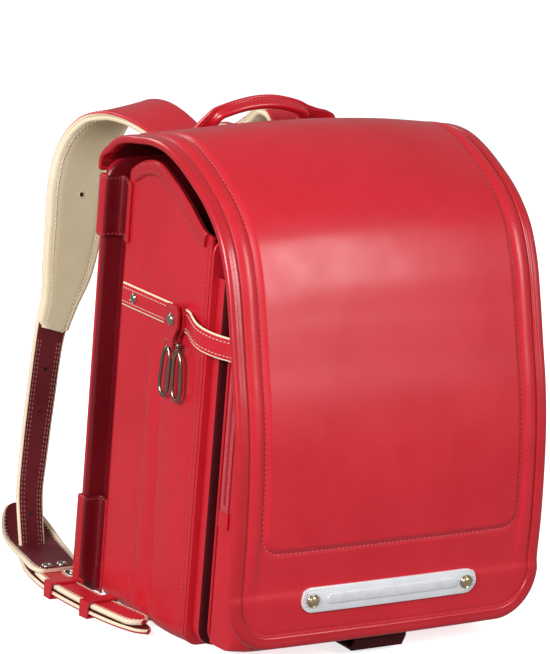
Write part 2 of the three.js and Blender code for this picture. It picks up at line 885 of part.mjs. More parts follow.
// The hook: two long loops of wire, one fixed to the bar and one that opens beside it;
// width as a share of half the loop's, drop as a share of the hook's
const loopRows = [
  { width: 0.1, drop: 0 },
  { width: 0.85, drop: 0.18 },
  { width: 1, drop: 0.55 },
  { width: 0.9, drop: 0.86 },
  { width: 0, drop: 1 },
  { width: -0.9, drop: 0.88 },
  { width: -1, drop: 0.55 },
  { width: -0.8, drop: 0.18 },
  { width: -0.1, drop: 0 },
];
const loopTop = knobRadius + gap + hookWire;

function hookLoop(direction) {
  const points = loopRows.map(({ width, drop }) => new THREE.Vector3(
    0,
    direction * (width * (hookLoopWidth / 2) + drop * hookLean),
    -loopTop - drop * hookDrop,
  ));
  return wire(smooth(points, 22, true), hookWire, new THREE.Vector3(1, 0, 0), 6, true);
}

function makeHook(word, side) {
  const hanging = new THREE.Group();
  hanging.position.set(side * barX, hookY, barZ);
  bag.add(hanging);

  const bar = mergeBare(new THREE.CylinderGeometry(barRadius, barRadius, 2 * barHalf, 10));
  const knob = mergeBare(new THREE.SphereGeometry(knobRadius, 10, 7));
  const knobs = [-barHalf, barHalf].map((y) => knob.clone().translate(0, y, 0));
  const stem = wire([
    new THREE.Vector3(0, -barHalf, 0),
    new THREE.Vector3(0, -barHalf, -loopTop - hookWire / 2),
  ], hookWire, new THREE.Vector3(1, 0, 0), 8);
  const fixedLoop = hookLoop(-1).translate(0, -barHalf, 0);
  addPiece(`hook_body_${word}`, join(bar, ...knobs, stem, fixedLoop), 'steel', hanging);

  // The lever hangs on the bar's other knob and turns about an axis square to the hook
  const lever = new THREE.Group();
  lever.position.set(0, barHalf, 0);
  hanging.add(lever);
  addPiece(`hook_lever_${word}`, hookLoop(1), 'steel', lever);
}

// The shoulder strap, from its root to where it enters the belt: out as a share of the spread,
// back as a share of the reach, up as a share of the crest, width as a share of the full width,
// tilt in degrees and sag as a share of how much lower the second strap lies
const strapRows = [
  { out: -0.09, back: 0, up: 0.905, width: 0.78, tilt: 0, sag: 0 },
  { out: -0.09, back: 0.015, up: 0.94, width: 0.78, tilt: 0, sag: -0.3 },
  { out: -0.09, back: 0.11, up: 0.964, width: 0.8, tilt: 3, sag: -0.75 },
  { out: -0.078, back: 0.24, up: 0.976, width: 0.82, tilt: 8, sag: -0.6 },
  { out: -0.045, back: 0.4, up: 0.992, width: 0.85, tilt: 11, sag: 0.25 },
  { out: -0.015, back: 0.57, up: 1, width: 0.88, tilt: 12, sag: 0.9 },
  { out: 0.02, back: 0.74, up: 0.994, width: 0.9, tilt: 11, sag: 0.95 },
  { out: 0.08, back: 0.88, up: 0.968, width: 0.94, tilt: 8, sag: 0.9 },
  { out: 0.155, back: 0.965, up: 0.926, width: 0.98, tilt: 5, sag: 0.8 },
  { out: 0.235, back: 1, up: 0.87, width: 1, tilt: 2, sag: 0.7 },
  { out: 0.3, back: 0.985, up: 0.8, width: 1, tilt: 0, sag: 0.6 },
  { out: 0.35, back: 0.94, up: 0.72, width: 0.96, tilt: 0, sag: 0.4 },
  { out: 0.45, back: 0.87, up: 0.63, width: 0.84, tilt: 0, sag: 0.3 },
  { out: 0.58, back: 0.8, up: 0.555, width: 0.6, tilt: 0, sag: 0.2 },
  { out: 0.68, back: 0.755, up: 0.5, width: 0.53, tilt: 0, sag: 0.1 },
  { out: 0.8, back: 0.685, up: 0.35, width: 0.5, tilt: 0, sag: 0 },
  { out: 0.89, back: 0.62, up: 0.235, width: 0.48, tilt: 0, sag: 0 },
  { out: 0.96, back: 0.555, up: 0.15, width: 0.45, tilt: 0, sag: 0 },
  { out: 1, back: 0.47, up: 0.085, width: 0.44, tilt: 0, sag: 0 },
];

// Layers of the belt on the floor, from the floor up
const tailMiddle = keeperThickness + gap + tailThickness / 2;
const beltMiddle = tailMiddle + tailThickness + gap;
const stackTop = beltMiddle + tailThickness / 2;
const bracketFront = tailLine + flapThickness / 2 + 2 * gap + handleTabThickness;
const strapBack = bracketFront + bracketThickness + gap + strapThickness / 2;

// The strap's tail, from the belt's slot forward along the floor: out from the strap's foot,
// forward and up, as shares of the spread, the tail's reach and the slot's height
const footRows = [
  { out: 0.005, ahead: -0.03, up: 0.72 },
  { out: 0.012, ahead: -0.03, up: 0.52 },
  { out: 0.03, ahead: 0.0, up: 0.3 },
  { out: 0.07, ahead: 0.07, up: 0 },
  { out: 0.17, ahead: 0.25, up: 0 },
  { out: 0.205, ahead: 0.37, up: 0 },
  { out: 0.2, ahead: 0.6, up: 0 },
  { out: 0.13, ahead: 0.85, up: 0 },
  { out: 0.07, ahead: 1, up: 0 },
];

const strapFoot = {
  x: strapRoot + strapSpread,
  y: strapBack + 0.39 * strapReach,
  z: 0.056 * strapCrest,
};

function strapStations(side) {
  const sag = side > 0 ? rightStrapSag : 0;
  return strapRows.map((row) => {
    const tilt = THREE.MathUtils.degToRad(row.tilt);
    return {
      at: new THREE.Vector3(
        side * (strapRoot + row.out * strapSpread),
        strapBack + row.back * strapReach,
        row.up * strapCrest - row.sag * sag,
      ),
      across: new THREE.Vector3(Math.cos(tilt), 0, -side * Math.sin(tilt)),
      width: row.width * strapWidth,
    };
  });
}

function tailStations(side) {
  const length = strapFoot.y + 7;
  return footRows.map(({ out, ahead, up }, i) => ({
    at: new THREE.Vector3(
      side * (strapFoot.x + out * strapSpread),
      strapFoot.y - ahead * length,
      tailMiddle + up * (strapFoot.z - tailMiddle),
    ),
    across: new THREE.Vector3(1, 0, 0),
    width: i === footRows.length - 1 ? tailWidth * 0.45 : tailWidth,
  }));
}

function makeStrap(word, side) {
  const stations = refine([...strapStations(side), ...tailStations(side)], strapSteps);
  addPiece(`strap_${word}`, ribbon(stations, strapThickness), 'red');
  const lift = -(strapThickness / 2 + slack + strapPad / 2);
  const padded = stations.slice(strapSteps, (padRows - 1) * strapSteps + 1)
    .map((station) => ({ ...station, width: station.width - 2 }));
  addPiece(`strap_pad_${word}`, ribbon(padded, strapPad, lift), 'cream');
}

// The leaf of the lower belt: ahead as a share of its length, half widths as shares of its width,
// up as a share of the rise of its cupped end, and rim as the rise of its edges
const leafRows = [
  { away: 0, outer: 0.5, inner: 0.3, up: 0, rim: 0 },
  { away: 0.12, outer: 0.53, inner: 0.36, up: 0, rim: 0 },
  { away: 0.36, outer: 0.48, inner: 0.47, up: 0.02, rim: 0 },
  { away: 0.6, outer: 0.46, inner: 0.54, up: 0.06, rim: 0.03 },
  { away: 0.78, outer: 0.46, inner: 0.58, up: 0.14, rim: 0.1 },
  { away: 0.9, outer: 0.44, inner: 0.54, up: 0.4, rim: 0.15 },
  { away: 0.965, outer: 0.36, inner: 0.42, up: 0.72, rim: 0.12 },
  { away: 1, outer: 0.2, inner: 0.22, up: 0.98, rim: 0.04 },
];
const leafFront = boardBack + 3 * gap + sleeveThickness
  + 2 * (anchorLeather + ringWire + gap);
const leafX = halfBody + leafStandOff;

function makeLeaf(word, side) {
  const base = stackTop + gap + leafThickness / 2;
  const point = (row, share, lift) => {
    const half = (share < 0 ? row.inner : row.outer) * leafWidth;
    return new THREE.Vector3(
      side * (leafX - leafShift * row.away + share * half),
      leafFront + row.away * leafLength,
      base + row.up * leafRise + row.rim * leafRise * share ** 2 + lift,
    );
  };
  const shares = [-1, -0.55, 0, 0.55, 1];
  const sheet = loft(leafRows.map((row) => [
    ...shares.map((share) => point(row, share, leafThickness / 2)),
    ...[...shares].reverse().map((share) => point(row, share, -leafThickness / 2)),
  ]));
  const slot = new THREE.BoxGeometry(
    strapRows.at(-1).width * strapWidth + 2 * slotMargin,
    strapThickness + 2 * slotMargin,
    leafRise,
  );
  slot.translate(side * (strapFoot.x + 0.3), strapFoot.y + 4.4, strapFoot.z);
  addPiece(`belt_leaf_${word}`, cut(sheet, slot), 'maroon');

  ['outer', 'inner'].forEach((place, i) => {
    const profile = [
      new THREE.Vector2(eyeletRadius * 0.4, 0),
      new THREE.Vector2(eyeletRadius, 0),
      new THREE.Vector2(eyeletRadius * 0.9, 0.8),
      new THREE.Vector2(eyeletRadius * 0.65, 1.3),
      new THREE.Vector2(eyeletRadius * 0.4, 0.8),
      new THREE.Vector2(eyeletRadius * 0.4, 0),
    ];
    const eyelet = mergeBare(new THREE.LatheGeometry(profile, 12)).rotateX(Math.PI / 2);
    const mesh = addPiece(`belt_eyelet_${place}_${word}`, faceOutward(eyelet), 'steel');
    mesh.position.set(
      side * (leafX + (i === 0 ? 0.26 : -0.02) * leafWidth),
      leafFront + 1.6 * eyeletRadius,
      stackTop + 2 * gap + leafThickness,
    );
  });
}

// The belt's inner layer lies on the tail, and two keepers hold both
const beltRows = [
  { ahead: -0.12, width: 1 },
  { ahead: 0, width: 1 },
  { ahead: 0.08, width: 1 },
  { ahead: 0.2, width: 1 },
  { ahead: 0.36, width: 1 },
  { ahead: 0.5, width: 1 },
  { ahead: 0.63, width: 1 },
  { ahead: 0.92, width: 1 },
  { ahead: 1, width: 0.45 },
];

function stackX(y) {
  const line = refine([...strapStations(1), ...tailStations(1)], strapSteps)
    .slice(-strapSteps * 6 - 1);
  const next = Math.max(line.findIndex(({ at }) => at.y <= y), 1);
  const [a, b] = [line[next - 1].at, line[next].at];
  return a.x + ((a.y - y) / (a.y - b.y)) * (b.x - a.x);
}

function makeBelt(word, side) {
  const stations = beltRows.map(({ ahead, width }) => {
    const y = tailReach - ahead * tailReach;
    return {
      at: new THREE.Vector3(side * (stackX(y) - beltShift), y, beltMiddle),
      across: new THREE.Vector3(1, 0, 0),
      width: width * tailWidth,
    };
  });
  addPiece(`belt_layer_${word}`, ribbon(stations, tailThickness), 'red');

  const high = stackTop + gap + keeperThickness;
  const inner = high - 2 * keeperThickness;
  const width = tailWidth + beltShift + 2 * slack;
  ['back', 'front'].forEach((place, i) => {
    const y = tailReach * (i === 0 ? 0.86 : 0.44);
    const shift = stackX(y + keeperLength / 2) - stackX(y - keeperLength / 2);
    const turn = Math.atan2(shift, keeperLength);
    const outside = new THREE.BoxGeometry(width + 2 * keeperThickness, keeperLength, high);
    const inside = new THREE.BoxGeometry(width, 2 * keeperLength, inner);
    const mesh = addPiece(`keeper_${place}_${word}`, cut(outside, inside), 'red');
    mesh.position.set(side * (stackX(y) - beltShift / 2), y, high / 2);
    mesh.rotation.z = -side * turn;
  });
}

// A tab and a ring at the bottom corner tie the belt to the board
function makeAnchor(word, side) {
  const tabHalf = anchorWidth / 2;
  const x = halfBody - anchorInset;
  const fold = ringWire + gap;
  const front = boardBack + 2 * gap + sleeveThickness + anchorLeather;
  const barY = front + fold;
  const barHeight = stackTop - ringWire;
  const line = [
    [front, anchorHeight],
    ...arc(barY, barHeight, fold, 180, 360, 6),
    [barY + fold, anchorHeight],
  ];
  const sheet = thicken(line, -anchorLeather);
  addPiece(
    `anchor_tab_${word}`,
    prism(sheet, side * x - tabHalf, side * x + tabHalf, alongX),
    'red',
  );
  const half = tabHalf + 2 * ringWire + gap;
  const corners = [
    [-half, 0], [half, 0], [half, ringReach * 0.6], [half * 0.6, ringReach],
    [-half * 0.6, ringReach], [-half, ringReach * 0.6],
  ];
  const points = corners.map(([u, v]) => new THREE.Vector3(side * x + u, barY + v, barHeight));
  const ring = wire(points, ringWire, new THREE.Vector3(0, 0, 1), 8, true);
  addPiece(`anchor_ring_${word}`, ring, 'steel');
}

// The handle: across as a share of half its span, up as a share of its rise above the board,
// lean as a share of how far its arch leans over the flap, its section as shares of the full
// one, and turn as the section's turn in degrees, from level at the tabs to upright at the top.
// It is pulled to the right, so its right leg stands wider than the left one.
const handleLegs = [
  { side: -1, across: 0.875, up: -0.27, lean: 0, wide: 3.33, deep: 0, turn: 0 },
  { side: -1, across: 0.875, up: 0.04, lean: 0, wide: 3.33, deep: 0, turn: 0 },
  { side: -1, across: 0.76, up: 0.26, lean: 0.05, wide: 2.05, deep: 0.35, turn: 4 },
  { side: -1, across: 0.715, up: 0.42, lean: 0.25, wide: 1.5, deep: 0.7, turn: 14 },
  { side: -1, across: 0.68, up: 0.53, lean: 0.48, wide: 1.15, deep: 0.9, turn: 30 },
  { side: 1, across: 0.875, up: -0.27, lean: 0, wide: 3.33, deep: 0, turn: 0 },
  { side: 1, across: 0.875, up: 0.3, lean: 0, wide: 3.33, deep: 0.2, turn: 0 },
  { side: 1, across: 0.86, up: 0.455, lean: 0.12, wide: 3.1, deep: 0.6, turn: 7 },
  { side: 1, across: 0.8, up: 0.53, lean: 0.3, wide: 2.55, deep: 0.75, turn: 11 },
  { side: 1, across: 0.71, up: 0.575, lean: 0.5, wide: 1.6, deep: 0.9, turn: 24 },
];
const handleArch = [
  { across: 0.62, up: 0.63, lean: 0.68, wide: 1.05, deep: 1, turn: 44 },
  { across: 0.5, up: 0.7, lean: 0.85, wide: 0.98, deep: 1, turn: 58 },
  { across: 0.33, up: 0.765, lean: 0.95, wide: 0.95, deep: 1, turn: 72 },
  { across: 0.11, up: 0.81, lean: 1, wide: 0.98, deep: 1, turn: 85 },
];

function makeHandle() {
  const tabY = tailLine + flapThickness / 2 + gap + handleTabThickness / 2;
  const half = handleSpan / 2;
  const stations = [
    ...handleLegs.filter((row) => row.side < 0),
    ...handleArch.map((row) => ({ ...row, side: -1 })),
    ...[...handleArch].reverse().map((row) => ({ ...row, side: 1 })),
    ...handleLegs.filter((row) => row.side > 0).reverse(),
  ];
  const rings = stations.map(({ across, up, lean, wide, deep, turn, side }) => {
    const angle = THREE.MathUtils.degToRad(turn);
    const out = new THREE.Vector3(side * Math.cos(angle), 0, Math.sin(angle));
    const middle = new THREE.Vector3(
      side * across * half,
      tabY - lean * handleLean,
      boardHeight + up * handleRise,
    );
    const w = (wide * handleThickness) / 2;
    const d = Math.max(deep * handleDepth, handleTabThickness) / 2;
    return [[1, 0], [0.7, 0.7], [0, 1], [-0.7, 0.7], [-1, 0], [-0.7, -0.7], [0, -1], [0.7, -0.7]]
      .map(([u, v]) => middle.clone().addScaledVector(out, u * w)
        .add(new THREE.Vector3(0, v * d, 0)));
  });
  addPiece('handle', loft(rings), 'red');

  const bracket = roundedPanel(
    strapRoot + 0.42 * strapWidth + bracketMargin,
    boardHeight - bracketHeight,
    boardHeight + bracketMargin,
    bracketCorner,
    bracketCorner,
    2,
  );
  const plate = prism(bracket, bracketFront, bracketFront + bracketThickness, alongY);
  addPiece('strap_bracket', plate, 'red');
}

// A plain tongue closes the flap under the body; drop is below the pocket's bottom,
// as a share of that bottom's height, and ahead is along the tongue's bend
function makeTongue() {
  const inside = flapFront + flapThickness + 3 * gap + bindingWall;
  const bend = 3 * pocketWall;
  const line = [
    [inside, flapHem + tongueOverlap],
    [inside, pocketBottom + bend / 2],
    [inside + bend / 2, pocketBottom - bend / 2],
    [inside + 1.5 * bend, pocketBottom - tongueThickness - slack],
    [pocketBack, pocketBottom - tongueThickness - slack],
  ];
  const half = tongueWidth / 2;
  addPiece('lock_tongue', prism(thicken(line, -tongueThickness), -half, half, alongX), 'red');
}

makeMainCompartment();
makeBack();
makeMiddle();
makePocket();
makeFlap();
makeBinding();
makeReflector();
makeHandle();
makeTongue();
[['left', -1], ['right', 1]].forEach(([word, side]) => {
  makeCollar(`side_collar_${word}`, side);
  makeSleeve(`sleeve_top_${word}`, side, topSleeveTop - topSleeveLength, topSleeveTop, 0);
  makeSleeve(`sleeve_bottom_${word}`, side, gap, bottomSleeveLength, 2);
  makeSideBand(word, side);
  makeHookTab(word, side);
  makeHook(word, side);
  makeStrap(word, side);
  makeLeaf(word, side);
  makeBelt(word, side);
  makeAnchor(word, side);
});

export default bag;
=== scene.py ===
import math

import bpy
import numpy as np
from mathutils import Matrix, Vector


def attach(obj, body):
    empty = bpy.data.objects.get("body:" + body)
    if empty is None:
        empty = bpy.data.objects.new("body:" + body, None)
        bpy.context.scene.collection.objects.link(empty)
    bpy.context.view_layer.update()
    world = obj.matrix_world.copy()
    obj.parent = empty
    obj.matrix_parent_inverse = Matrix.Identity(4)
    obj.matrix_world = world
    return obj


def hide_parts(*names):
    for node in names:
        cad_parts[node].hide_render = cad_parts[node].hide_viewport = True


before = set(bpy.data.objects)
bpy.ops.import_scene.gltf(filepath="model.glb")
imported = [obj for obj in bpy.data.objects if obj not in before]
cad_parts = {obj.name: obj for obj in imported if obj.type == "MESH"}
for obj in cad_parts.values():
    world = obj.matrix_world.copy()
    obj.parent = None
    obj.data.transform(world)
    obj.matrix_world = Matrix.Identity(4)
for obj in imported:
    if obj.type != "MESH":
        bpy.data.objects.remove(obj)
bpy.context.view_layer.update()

# Lengths below are in millimetres, as in the CAD source; meshes are made in metres
MM = 0.001
SIDES = (("left", -1), ("right", 1))
GAP = 0.3
SLEEVE_SHEET, TAB_SHEET, PLATE_SHEET, RING_WIRE = 1.5, 1.8, 3, 1.4
BACK_Y = 96.85
BODY_DEPTH, BODY_HEIGHT, HALF_BODY = 127.2, 320, 119.7
BODY_FRONT = BACK_Y - BODY_DEPTH
TOTAL_DEPTH = 193.7
BOARD_FRONT, BOARD_BACK, BOARD_TOP, HALF_BOARD = 97.15, 104.15, 311, 126
X_AXIS, Y_AXIS, Z_AXIS = np.eye(3)


# Materials

def set_inputs(node, inputs):
    """Sets a node's inputs by name, with _ for a space."""
    for key, value in inputs.items():
        node.inputs[key.replace("_", " ")].default_value = value
    return node


def add_node(material, kind, **inputs):
    return set_inputs(material.node_tree.nodes.new(kind), inputs)


def new_material(name, dark, light, scale, roughness, **inputs):
    """A material whose colour varies softly between two tones, its shader and the place of its
    textures."""
    material = bpy.data.materials.new(name)
    material.use_nodes = True
    shader = material.node_tree.nodes["Principled BSDF"]
    set_inputs(shader, {"Base_Color": (*light, 1), "Roughness": roughness, **inputs})
    links = material.node_tree.links
    place = add_node(material, "ShaderNodeTexCoord")
    noise = add_node(material, "ShaderNodeTexNoise", Scale=scale, Detail=4.0, Roughness=0.6)
    ramp = add_node(material, "ShaderNodeValToRGB")
    for stop, position, colour in zip(ramp.color_ramp.elements, (0.35, 0.65), (dark, light)):
        stop.position = position
        stop.color = (*colour, 1)
    links.new(place.outputs["Object"], noise.inputs["Vector"])
    links.new(noise.outputs["Fac"], ramp.inputs["Fac"])
    links.new(ramp.outputs["Color"], shader.inputs["Base Color"])
    return material, shader, place


def rough_noise(material, shader, place, scale, low, high):
    """Roughness that varies between two values."""
    links = material.node_tree.links
    noise = add_node(material, "ShaderNodeTexNoise", Scale=scale, Detail=3.0)
    spread = add_node(material, "ShaderNodeMapRange")
    spread.inputs["From Min"].default_value, spread.inputs["From Max"].default_value = 0.3, 0.7
    spread.inputs["To Min"].default_value, spread.inputs["To Max"].default_value = low, high
    links.new(place.outputs["Object"], noise.inputs["Vector"])
    links.new(noise.outputs["Fac"], spread.inputs["Value"])
    links.new(spread.outputs["Result"], shader.inputs["Roughness"])


def grain(material, shader, place, layers):
    """Bump from layers of (texture kind, scale, strength, distance in metres)."""
    links = material.node_tree.links
    last = None
    for kind, scale, strength, distance in layers:
        texture = add_node(material, kind, Scale=scale)
        bump = add_node(material, "ShaderNodeBump", Strength=strength, Distance=distance)
        links.new(place.outputs["Object"], texture.inputs["Vector"])
        out = "Distance" if kind == "ShaderNodeTexVoronoi" else "Fac"
        links.new(texture.outputs[out], bump.inputs["Height"])
        if last is not None:
            links.new(last.outputs["Normal"], bump.inputs["Normal"])
        last = bump
    links.new(last.outputs["Normal"], shader.inputs["Normal"])


def leather(name, dark, light, roughness, coat, grain_strength=0.12, gloss=0.4):
    material, shader, place = new_material(name, dark, light, 14, roughness, Coat_Weight=coat,
                                           Coat_Roughness=0.2, Specular_IOR_Level=gloss)
    rough_noise(material, shader, place, 60, roughness - 0.05, roughness + 0.07)
    grain(material, shader, place, [
        ("ShaderNodeTexVoronoi", 900, grain_strength, 0.0002),
        ("ShaderNodeTexNoise", 30, 0.03, 0.001),
    ])
    return material


def metal(name, colour, roughness):
    dark = [c * 0.88 for c in colour]
    material, shader, place = new_material(name, dark, colour, 120, roughness, Metallic=1.0)
    rough_noise(material, shader, place, 300, roughness - 0.05, roughness + 0.08)
    grain(material, shader, place, [("ShaderNodeTexNoise", 500, 0.02, 0.0001)])
    return material


def thread(name, colour):
    dark = [c * 0.8 for c in colour]
    return rippled(name, dark, colour, 500, 0.55, ("ShaderNodeTexNoise", 2500, 0.3, 0.0002),
                   Sheen_Weight=0.3)


def rippled(name, dark, light, scale, roughness, layer, **inputs):
    """A material with one layer of bumps."""
    material, shader, place = new_material(name, dark, light, scale, roughness, **inputs)
    grain(material, shader, place, [layer])
    return material


RED = leather("red_leather", (0.52, 0.008, 0.018), (0.57, 0.012, 0.025), 0.38, 0.25, 0.08)
RED_EDGE = leather("red_edge", (0.44, 0.006, 0.014), (0.50, 0.009, 0.019), 0.3, 0.35, 0.05)
# The next material is painted shade: near-black red for the gutter before the back board, the board's front
# faces and the sleeves' faces in the gutter
GROOVE_SHADE = leather("red_groove_shade", (0.13, 0.002, 0.006), (0.17, 0.004, 0.009), 0.34, 0.3, 0.05)
# The next material is painted shade: dark red for the flap's underside and the inner faces of the troughs
DEEP_SHADE = leather("red_inner_shade", (0.16, 0.004, 0.008), (0.20, 0.006, 0.01), 0.6, 0.0, gloss=0.2)
CREAM = leather("cream_leather", (0.62, 0.53, 0.36), (0.69, 0.60, 0.42), 0.6, 0.0, 0.25, gloss=0.25)
CREAM_EDGE = leather("cream_edge", (0.78, 0.66, 0.46), (0.86, 0.75, 0.56), 0.55, 0.0, 0.1, gloss=0.3)
SHADE = leather("red_shade", (0.045, 0.001, 0.003), (0.06, 0.002, 0.004), 0.6, 0.0, gloss=0.15)
MAROON = leather("maroon_lining", (0.10, 0.009, 0.013), (0.15, 0.015, 0.022), 0.5, 0.0, gloss=0.25)
STEEL = metal("plated_steel", (0.50, 0.45, 0.39), 0.2)
BRONZE = metal("hook_metal", (0.34, 0.26, 0.21), 0.18)
BRASS = metal("pale_brass", (0.70, 0.56, 0.33), 0.28)
RED_THREAD = thread("red_thread", (0.40, 0.012, 0.03))
PALE_THREAD = thread("pale_thread", (0.62, 0.10, 0.13))
DUSTY_THREAD = thread("dusty_thread", (0.42, 0.16, 0.16))
WHITE_THREAD = thread("white_thread", (0.80, 0.66, 0.55))
ZIP_CLOTH = rippled("zip_cloth", (0.38, 0.01, 0.022), (0.48, 0.02, 0.035), 300, 0.75,
                    ("ShaderNodeTexVoronoi", 1500, 0.5, 0.0003), Sheen_Weight=0.4)
STRIP = rippled("reflector_strip", (0.64, 0.65, 0.68), (0.72, 0.73, 0.76), 40, 0.32,
                ("ShaderNodeTexVoronoi", 700, 0.06, 0.0002), Coat_Weight=0.5, Coat_Roughness=0.1)
FILM = rippled("reflector_film", (0.66, 0.67, 0.70), (0.80, 0.81, 0.84), 60, 0.25,
               ("ShaderNodeTexVoronoi", 420, 0.25, 0.0003), Metallic=0.15, Coat_Weight=0.8,
               Coat_Roughness=0.1)
# The next material is painted shade: near-black discs standing for the shade inside punched holes and
# eyelets
HOLE_SHADE, _, _ = new_material("punched_hole_shade", (0.008, 0.004, 0.004), (0.02, 0.009, 0.009), 400, 0.8)

SLOT_OF = {
    **dict.fromkeys((RED, RED_EDGE, GROOVE_SHADE, DEEP_SHADE, SHADE, RED_THREAD, PALE_THREAD), "leather_red"),
    **dict.fromkeys((CREAM, CREAM_EDGE, WHITE_THREAD), "lining_cream"),
    **dict.fromkeys((MAROON, DUSTY_THREAD, HOLE_SHADE), "lining_maroon"),
    **dict.fromkeys((STEEL, BRONZE), "steel_plated"),
    **dict.fromkeys((STRIP, FILM), "reflector_white"),
    BRASS: "rivet_brass", ZIP_CLOTH: "zip_cloth",
}


# Mesh helpers

def add_to_scene(name, data):
    obj = bpy.data.objects.new(name, data)
    bpy.context.scene.collection.objects.link(obj)
    return obj


def piece(name, shapes, materials, *stands_for, body="bag", sharp=38):
    """One object from shapes of (vertices, faces, material index of each face), with the CAD nodes
    that it stands for."""
    vertices, faces, indices, start = [], [], [], 0
    for points, polygons, picks in shapes:
        vertices.append(points)
        faces.extend([[start + i for i in polygon] for polygon in polygons])
        indices.extend(picks)
        start += len(points)
    mesh = bpy.data.meshes.new(name)
    mesh.from_pydata((np.concatenate(vertices) * MM).tolist(), [], faces)
    materials = materials if isinstance(materials, (list, tuple)) else [materials]
    for material in materials:
        mesh.materials.append(material)
    mesh.polygons.foreach_set("material_index", indices)
    mesh.update()
    mesh.shade_smooth()
    mesh.set_sharp_from_angle(angle=math.radians(sharp))
    obj = add_to_scene(name, mesh)
    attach(obj, body)
    if stands_for:
        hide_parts(*stands_for)
    return obj


def loft(rings, loop=False, pick=None):
    """A closed shape through rings of points; pick is the material index of each column,
    or of each row and column."""
    rings = np.asarray(rings, float)
    count, size = rings.shape[:2]
    i = np.arange(count if loop else count - 1)[:, None]
    j = np.arange(size)[None]
    here, after = i * size, ((i + 1) % count) * size
    side = (j + 1) % size
    faces = np.stack([here + j, here + side, after + side, after + j], -1).reshape(-1, 4)
    pick = np.zeros(size, int) if pick is None else np.asarray(pick)
    picks = np.broadcast_to(pick, (len(i), size)).ravel().tolist()
    points = rings.reshape(-1, 3)
    a, b, c, d = (points[faces[:, k]] for k in range(4))
    middle = points.mean(0)
    volume = np.einsum("ij,ij->i", a - middle, np.cross(b - middle, c - middle)).sum()
    volume += np.einsum("ij,ij->i", a - middle, np.cross(c - middle, d - middle)).sum()
    faces = faces.tolist()
    if not loop:
        faces += [list(range(size))[::-1], list(range((count - 1) * size, count * size))]
        picks += [picks[0], picks[-size]]
    if volume < 0:
        faces = [f[::-1] for f in faces]
    return points, faces, picks


def rows_of(*columns):
    """Rows from columns, any of which may be one number."""
    return np.stack(np.broadcast_arrays(*columns), -1)


def angles(start, end, count):
    """Angles evenly spread between two in degrees, in radians."""
    return np.radians(np.linspace(start, end, count))


def distances(points):
    """The distance along a line to each of its points."""
    return np.r_[0, np.cumsum(np.linalg.norm(np.diff(points, axis=0), axis=1))]


def between(a, b, start, end, t):
    """The value at t on the line from a at start to b at end."""
    return (end - t) / (end - start) * a + (t - start) / (end - start) * b


def unit(vectors):
    return vectors / np.maximum(np.linalg.norm(vectors, axis=-1, keepdims=True), 1e-9)


def directions(points, closed=False):
    if closed:
        return unit(np.roll(points, -1, 0) - np.roll(points, 1, 0))
    return unit(np.gradient(points, axis=0))


def resample(points, count, dims=3, closed=False):
    """Points evenly spaced along a line; the columns after dims go along with them."""
    points = np.vstack([points, points[:1]]) if closed else points
    reach = distances(points[:, :dims])
    at = np.linspace(0, reach[-1], count + 1 if closed else count)
    made = np.stack([np.interp(at, reach, points[:, k]) for k in range(points.shape[1])], 1)
    return made[:-1] if closed else made


def smooth(rows, count, dims=3, closed=False):
    """Evenly spaced points on a smooth line through the given rows."""
    rows = np.array(rows, float)
    if closed:
        rows = np.vstack([rows[-1:], rows, rows[:2]])
    else:
        rows = np.vstack([2 * rows[0] - rows[1], rows, 2 * rows[-1] - rows[-2]])
    dense = []
    for p0, p1, p2, p3 in zip(rows, rows[1:], rows[2:], rows[3:]):
        step = [max(np.linalg.norm((b - a)[:dims]), 1e-6) ** 0.5
                for a, b in ((p0, p1), (p1, p2), (p2, p3))]
        t0, t1, t2, t3 = np.r_[0, np.cumsum(step)]
        for t in np.linspace(t1, t2, 16, endpoint=False):
            a1, a2 = between(p0, p1, t0, t1, t), between(p1, p2, t1, t2, t)
            a3 = between(p2, p3, t2, t3, t)
            b1, b2 = between(a1, a2, t0, t2, t), between(a2, a3, t1, t3, t)
            dense.append(between(b1, b2, t1, t2, t))
    if not closed:
        dense.append(rows[-2])
    return resample(np.array(dense), count, dims, closed)


def soft_step(value, low, high):
    share = np.clip((value - low) / (high - low), 0, 1)
    return share * share * (3 - 2 * share)


def groove_at(away, width):
    """A smooth dip's share of its full depth at a distance from its middle."""
    return np.exp(-((away / width) ** 2))


def arc(u, v, radius, start, end, steps):
    angle = angles(start, end, steps + 1)
    return rows_of(u + radius * np.cos(angle), v + radius * np.sin(angle))


def rounded(half, bottom, top, low, high, steps=9):
    """Outline of a rectangle with round corners, as [x, z] rows."""
    return np.vstack([
        arc(half - low, bottom + low, low, -90, 0, steps),
        arc(half - high, top - high, high, 0, 90, steps),
        arc(-half + high, top - high, high, 90, 180, steps),
        arc(-half + low, bottom + low, low, 180, 270, steps),
    ])


def normals(line):
    """Unit vectors to the right of a line of [u, v] rows."""
    along = directions(np.asarray(line, float))
    return rows_of(along[:, 1], -along[:, 0])


def offset(line, distance):
    """A line of [u, v] rows moved to its left."""
    return line - distance * normals(line)


def board(half, bottom, top, low, high, back, front, edge):
    """A panel across the bag with rounded edges, between two depths."""
    turns = angles(0, 90, 6)
    layers = [(back + edge * (1 - math.cos(a)), edge * (1 - math.sin(a))) for a in turns]
    layers += [(front - (y - back), inset) for y, inset in layers[::-1]]
    rings = []
    for y, inset in layers:
        line = rounded(half - inset, bottom + inset, top - inset,
                       max(low - inset, 0.6), max(high - inset, 0.6))
        rings.append(rows_of(line[:, 0], y, line[:, 1]))
    return loft(rings)


